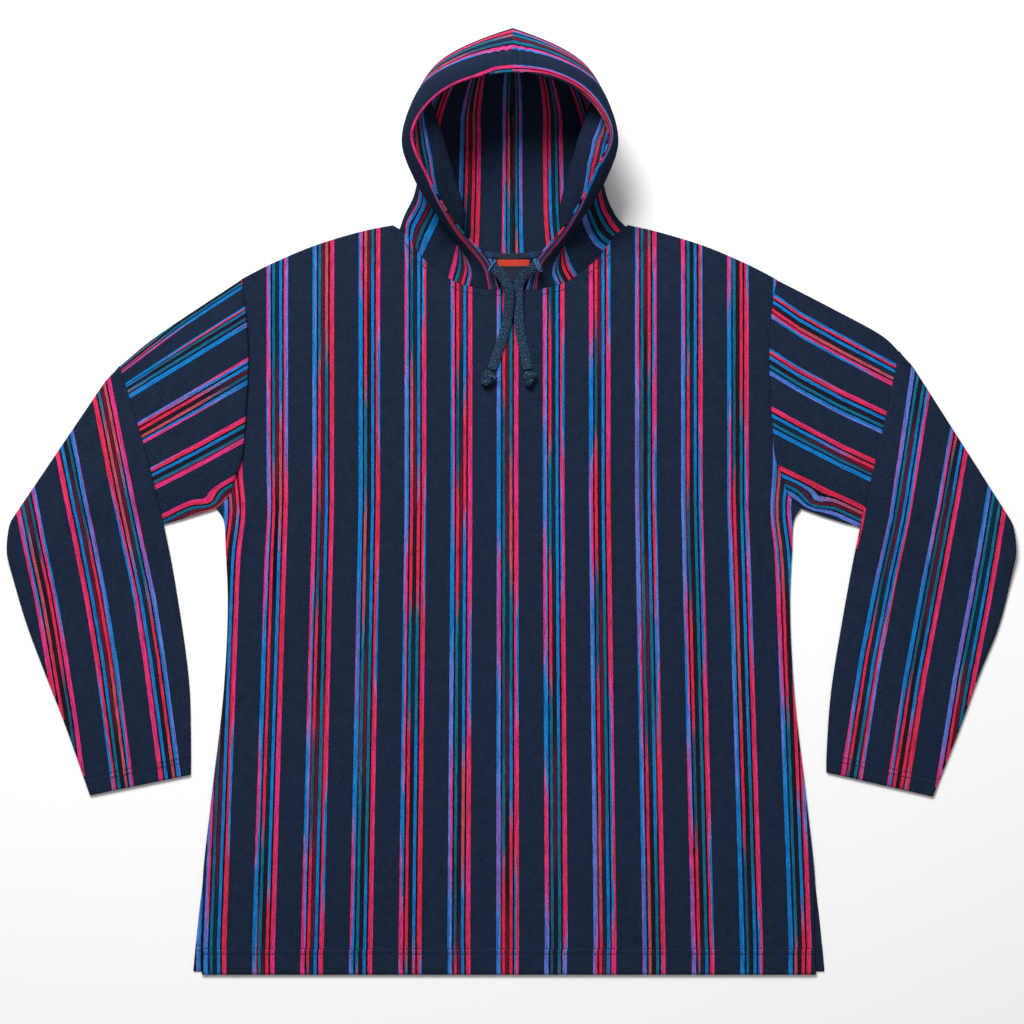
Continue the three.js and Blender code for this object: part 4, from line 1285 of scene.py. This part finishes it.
thread = Finish("dark_thread")
thread_place = thread.node("ShaderNodeTexCoord").outputs["Object"]
thread_noise = thread.node("ShaderNodeTexNoise", inputs={"Vector": thread_place, "Scale": 900.0}).outputs[0]
thread_material = thread.surface(
    thread_noise,
    0.0001,
    Base_Color=thread.mix(thread_noise, linear(STITCH_DARK), linear(STITCH_LIGHT)),
    Roughness=0.8,
    Specular_IOR_Level=0.15,
)


def stitch_tree():
    """Geometry nodes that set a stitch of the given size at each pitch along the lines of a mesh."""
    tree = bpy.data.node_groups.new("stitches_on_lines", "GeometryNodeTree")
    sockets = {}
    for name, kind in (("Lines", "Geometry"), ("Pitch", "Float"), ("Size", "Vector"), ("Thread", "Material")):
        sockets[name] = tree.interface.new_socket(name, in_out="INPUT", socket_type="NodeSocket" + kind)
    tree.interface.new_socket("Stitches", in_out="OUTPUT", socket_type="NodeSocketGeometry")
    nodes = {name: tree.nodes.new(kind) for name, kind in STITCH_NODES.items()}
    nodes["spots"].mode = "LENGTH"
    for name, value in (("Segments", 6), ("Rings", 4), ("Radius", 1)):
        nodes["bead"].inputs[name].default_value = value
    for source, output, target, into in STITCH_LINKS:
        tree.links.new(nodes[source].outputs[output], nodes[target].inputs[into])
    return tree, sockets


stitch_nodes, stitch_sockets = stitch_tree()


def stitched(name, lines):
    """A piece of stitches along lines of points in millimetres."""
    points, edges = [], []
    for line in lines:
        first = len(points)
        points.extend(metres(line).tolist())
        edges.extend((first + k, first + k + 1) for k in range(len(line) - 1))
    mesh = bpy.data.meshes.new(name)
    mesh.from_pydata(points, edges, [])
    obj = bpy.data.objects.new(name, mesh)
    scene.collection.objects.link(obj)
    modifier = obj.modifiers.new("stitches", "NODES")
    modifier.node_group = stitch_nodes
    modifier[stitch_sockets["Pitch"].identifier] = STITCH_PITCH * 0.001
    modifier[stitch_sockets["Size"].identifier] = tuple(value * 0.001 for value in STITCH_SIZE)
    modifier[stitch_sockets["Thread"].identifier] = thread_material
    graph = bpy.context.evaluated_depsgraph_get()
    obj.data = bpy.data.meshes.new_from_object(obj.evaluated_get(graph))
    obj.modifiers.remove(modifier)
    obj.data.name = name
    bpy.data.meshes.remove(mesh)
    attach(obj, "root")
    return obj


def onto(piece, places):
    """Points on the top of a piece at the given places, and none where it isn't."""
    mesh = piece.data
    tree = BVHTree.FromPolygons([v.co for v in mesh.vertices], [p.vertices for p in mesh.polygons])
    found = []
    for x, y in places:
        hit = tree.ray_cast(Vector((x * 0.001, (y + SHIFT_UP) * 0.001, 0.5)), Vector((0, 0, -1)))[0]
        if hit:
            found.append((x, y, hit.z * 1000 + STITCH_LIFT))
    return np.array(found)


def panel_row(grid, up):
    """The places on a panel at a height over its lower edge."""
    over = grid[..., 1] - grid[:1, :, 1]
    columns = range(grid.shape[1])
    return np.array([[np.interp(up, over[:, c], grid[:, c, k]) for k in (0, 1)] for c in columns])


def beside_curve(curve, distance):
    """A curve moved sideways, to its right."""
    ahead = unit(np.gradient(curve, axis=0))
    return curve + np.stack([ahead[:, 1], -ahead[:, 0]], axis=-1) * distance


front_rows = [onto(body_front, panel_row(front, up)[1:-1]) for up in HEM_ROWS]
half_neck = smooth_line(FRONT_NECK)[:-NECK_ROW_ENDS]
under_neck = beside_curve(half_neck, NECK_ROW)
for side in (-1, 1):
    front_rows.append(onto(body_front, mirrored(under_neck, side, NECK_CENTRE)))
back_rows = []
for up in HEM_ROWS:
    row = panel_row(back, up)
    limits = panel_row(front, up)[[0, -1], 0]
    ends = ((row[0, 0] + 0.6, limits[0] - 0.8), (limits[1] + 0.8, row[-1, 0] - 0.6))
    for start, end in ends:
        places = np.stack([np.linspace(start, end, 8), np.full(8, row[0, 1])], axis=-1)
        back_rows.append(onto(body_back, places))
stitches = {
    "body_front": stitched("front_stitches", front_rows),
    "body_back": stitched("back_stitches", back_rows),
}
for side_name, table in SLEEVES.items():
    inner_edge = smooth_line([table["fold_top"], *table["lower_top"]])
    outer_edge = smooth_line([table["fold_under"], *table["lower_under"]])
    rows = []
    for up in CUFF_ROWS:
        ends = [points_at(edge, [1 - up / lengths_along(edge)[-1]])[0] for edge in (inner_edge, outer_edge)]
        share = np.linspace(0.025, 0.975, 40)[:, None]
        rows.append(onto(sleeves[side_name], ends[0] * (1 - share) + ends[1] * share))
    stitches[f"sleeve_{side_name}"] = stitched(f"sleeve_{side_name}_stitches", rows)
for side_name, (piece, outer, inner, columns) in hoods.items():
    column = int(np.argmin(np.abs(columns - CASING_WIDTH)))
    row = (outer + unit(outer - inner) * HOOD_STITCH_LIFT)[2:-1, column]
    stitches[f"hood_{side_name}"] = stitched(f"hood_{side_name}_stitches", [row])

# Sizes of the cloth's cuts, which the loop below reads but nothing uses
# The flat cut of each piece, with its hems let out: width, length and area as measured over the pattern.
CUTS = {
    "body_front": (0.662, 0.812, 0.487),
    "body_back": (0.682, 0.812, 0.5),
    "sleeve_left": (0.5, 0.61, 0.216),
    "sleeve_right": (0.5, 0.61, 0.216),
    "hood_left": (0.272, 0.36, 0.07),
    "hood_right": (0.272, 0.36, 0.07),
}
cloths = {"body_front": body_front, "body_back": body_back}
cloths.update({f"hood_{side_name}": hood[0] for side_name, hood in hoods.items()})
cloths.update({f"sleeve_{side_name}": piece for side_name, piece in sleeves.items()})
for name, piece in cloths.items():
    width, length, area = CUTS[name]
    with_pieces = [stitches[name]]
    if name == "body_back":
        with_pieces += [tape, label]
    if name.startswith("hood"):
        with_pieces.append(eyelets[0 if name == "hood_left" else 1])

# Floor and lights
# A plain pale surface, a broad soft lamp over the garment and an even pale surround.
FLOOR_SIZE = 16.0
FLOOR_DROP = 0.3
SURROUND_STRENGTH = 0.24
floor_finish = Finish("pale_floor")
floor_grain = floor_finish.noise(*floor_finish.pattern(), scale=30)
floor_material = floor_finish.surface(floor_grain, 0.0001, Base_Color=(0.86, 0.86, 0.86, 1), Roughness=0.9)
corners = np.array([(-1, -1, 0), (1, -1, 0), (1, 1, 0), (-1, 1, 0)]) * FLOOR_SIZE * 500
floor_pattern = [[(0, 0), (1, 0), (1, 1), (0, 1)]]
floor = make_mesh("pale_floor", corners - (0, 0, FLOOR_DROP), [(0, 1, 2, 3)], floor_pattern, floor_material)


def lamp(name, place, size, power):
    """A round lamp that shines at the middle of the garment."""
    data = bpy.data.lights.new(name, "AREA")
    data.shape = "DISK"
    data.size = size
    data.energy = power
    light = bpy.data.objects.new(name, data)
    light.location = place
    light.rotation_euler = (-Vector(place)).to_track_quat("-Z", "Y").to_euler()
    scene.collection.objects.link(light)


lamp("soft_lamp", place=(-0.7, 2.1, 2.3), size=1.4, power=138)
lamp("fill_lamp", place=(0.9, -0.7, 3.0), size=2.4, power=14)
world = bpy.data.worlds.new("surround")
world.use_nodes = True
world.node_tree.nodes["Background"].inputs["Color"].default_value = (1, 1, 1, 1)
world.node_tree.nodes["Background"].inputs["Strength"].default_value = SURROUND_STRENGTH
scene.world = world
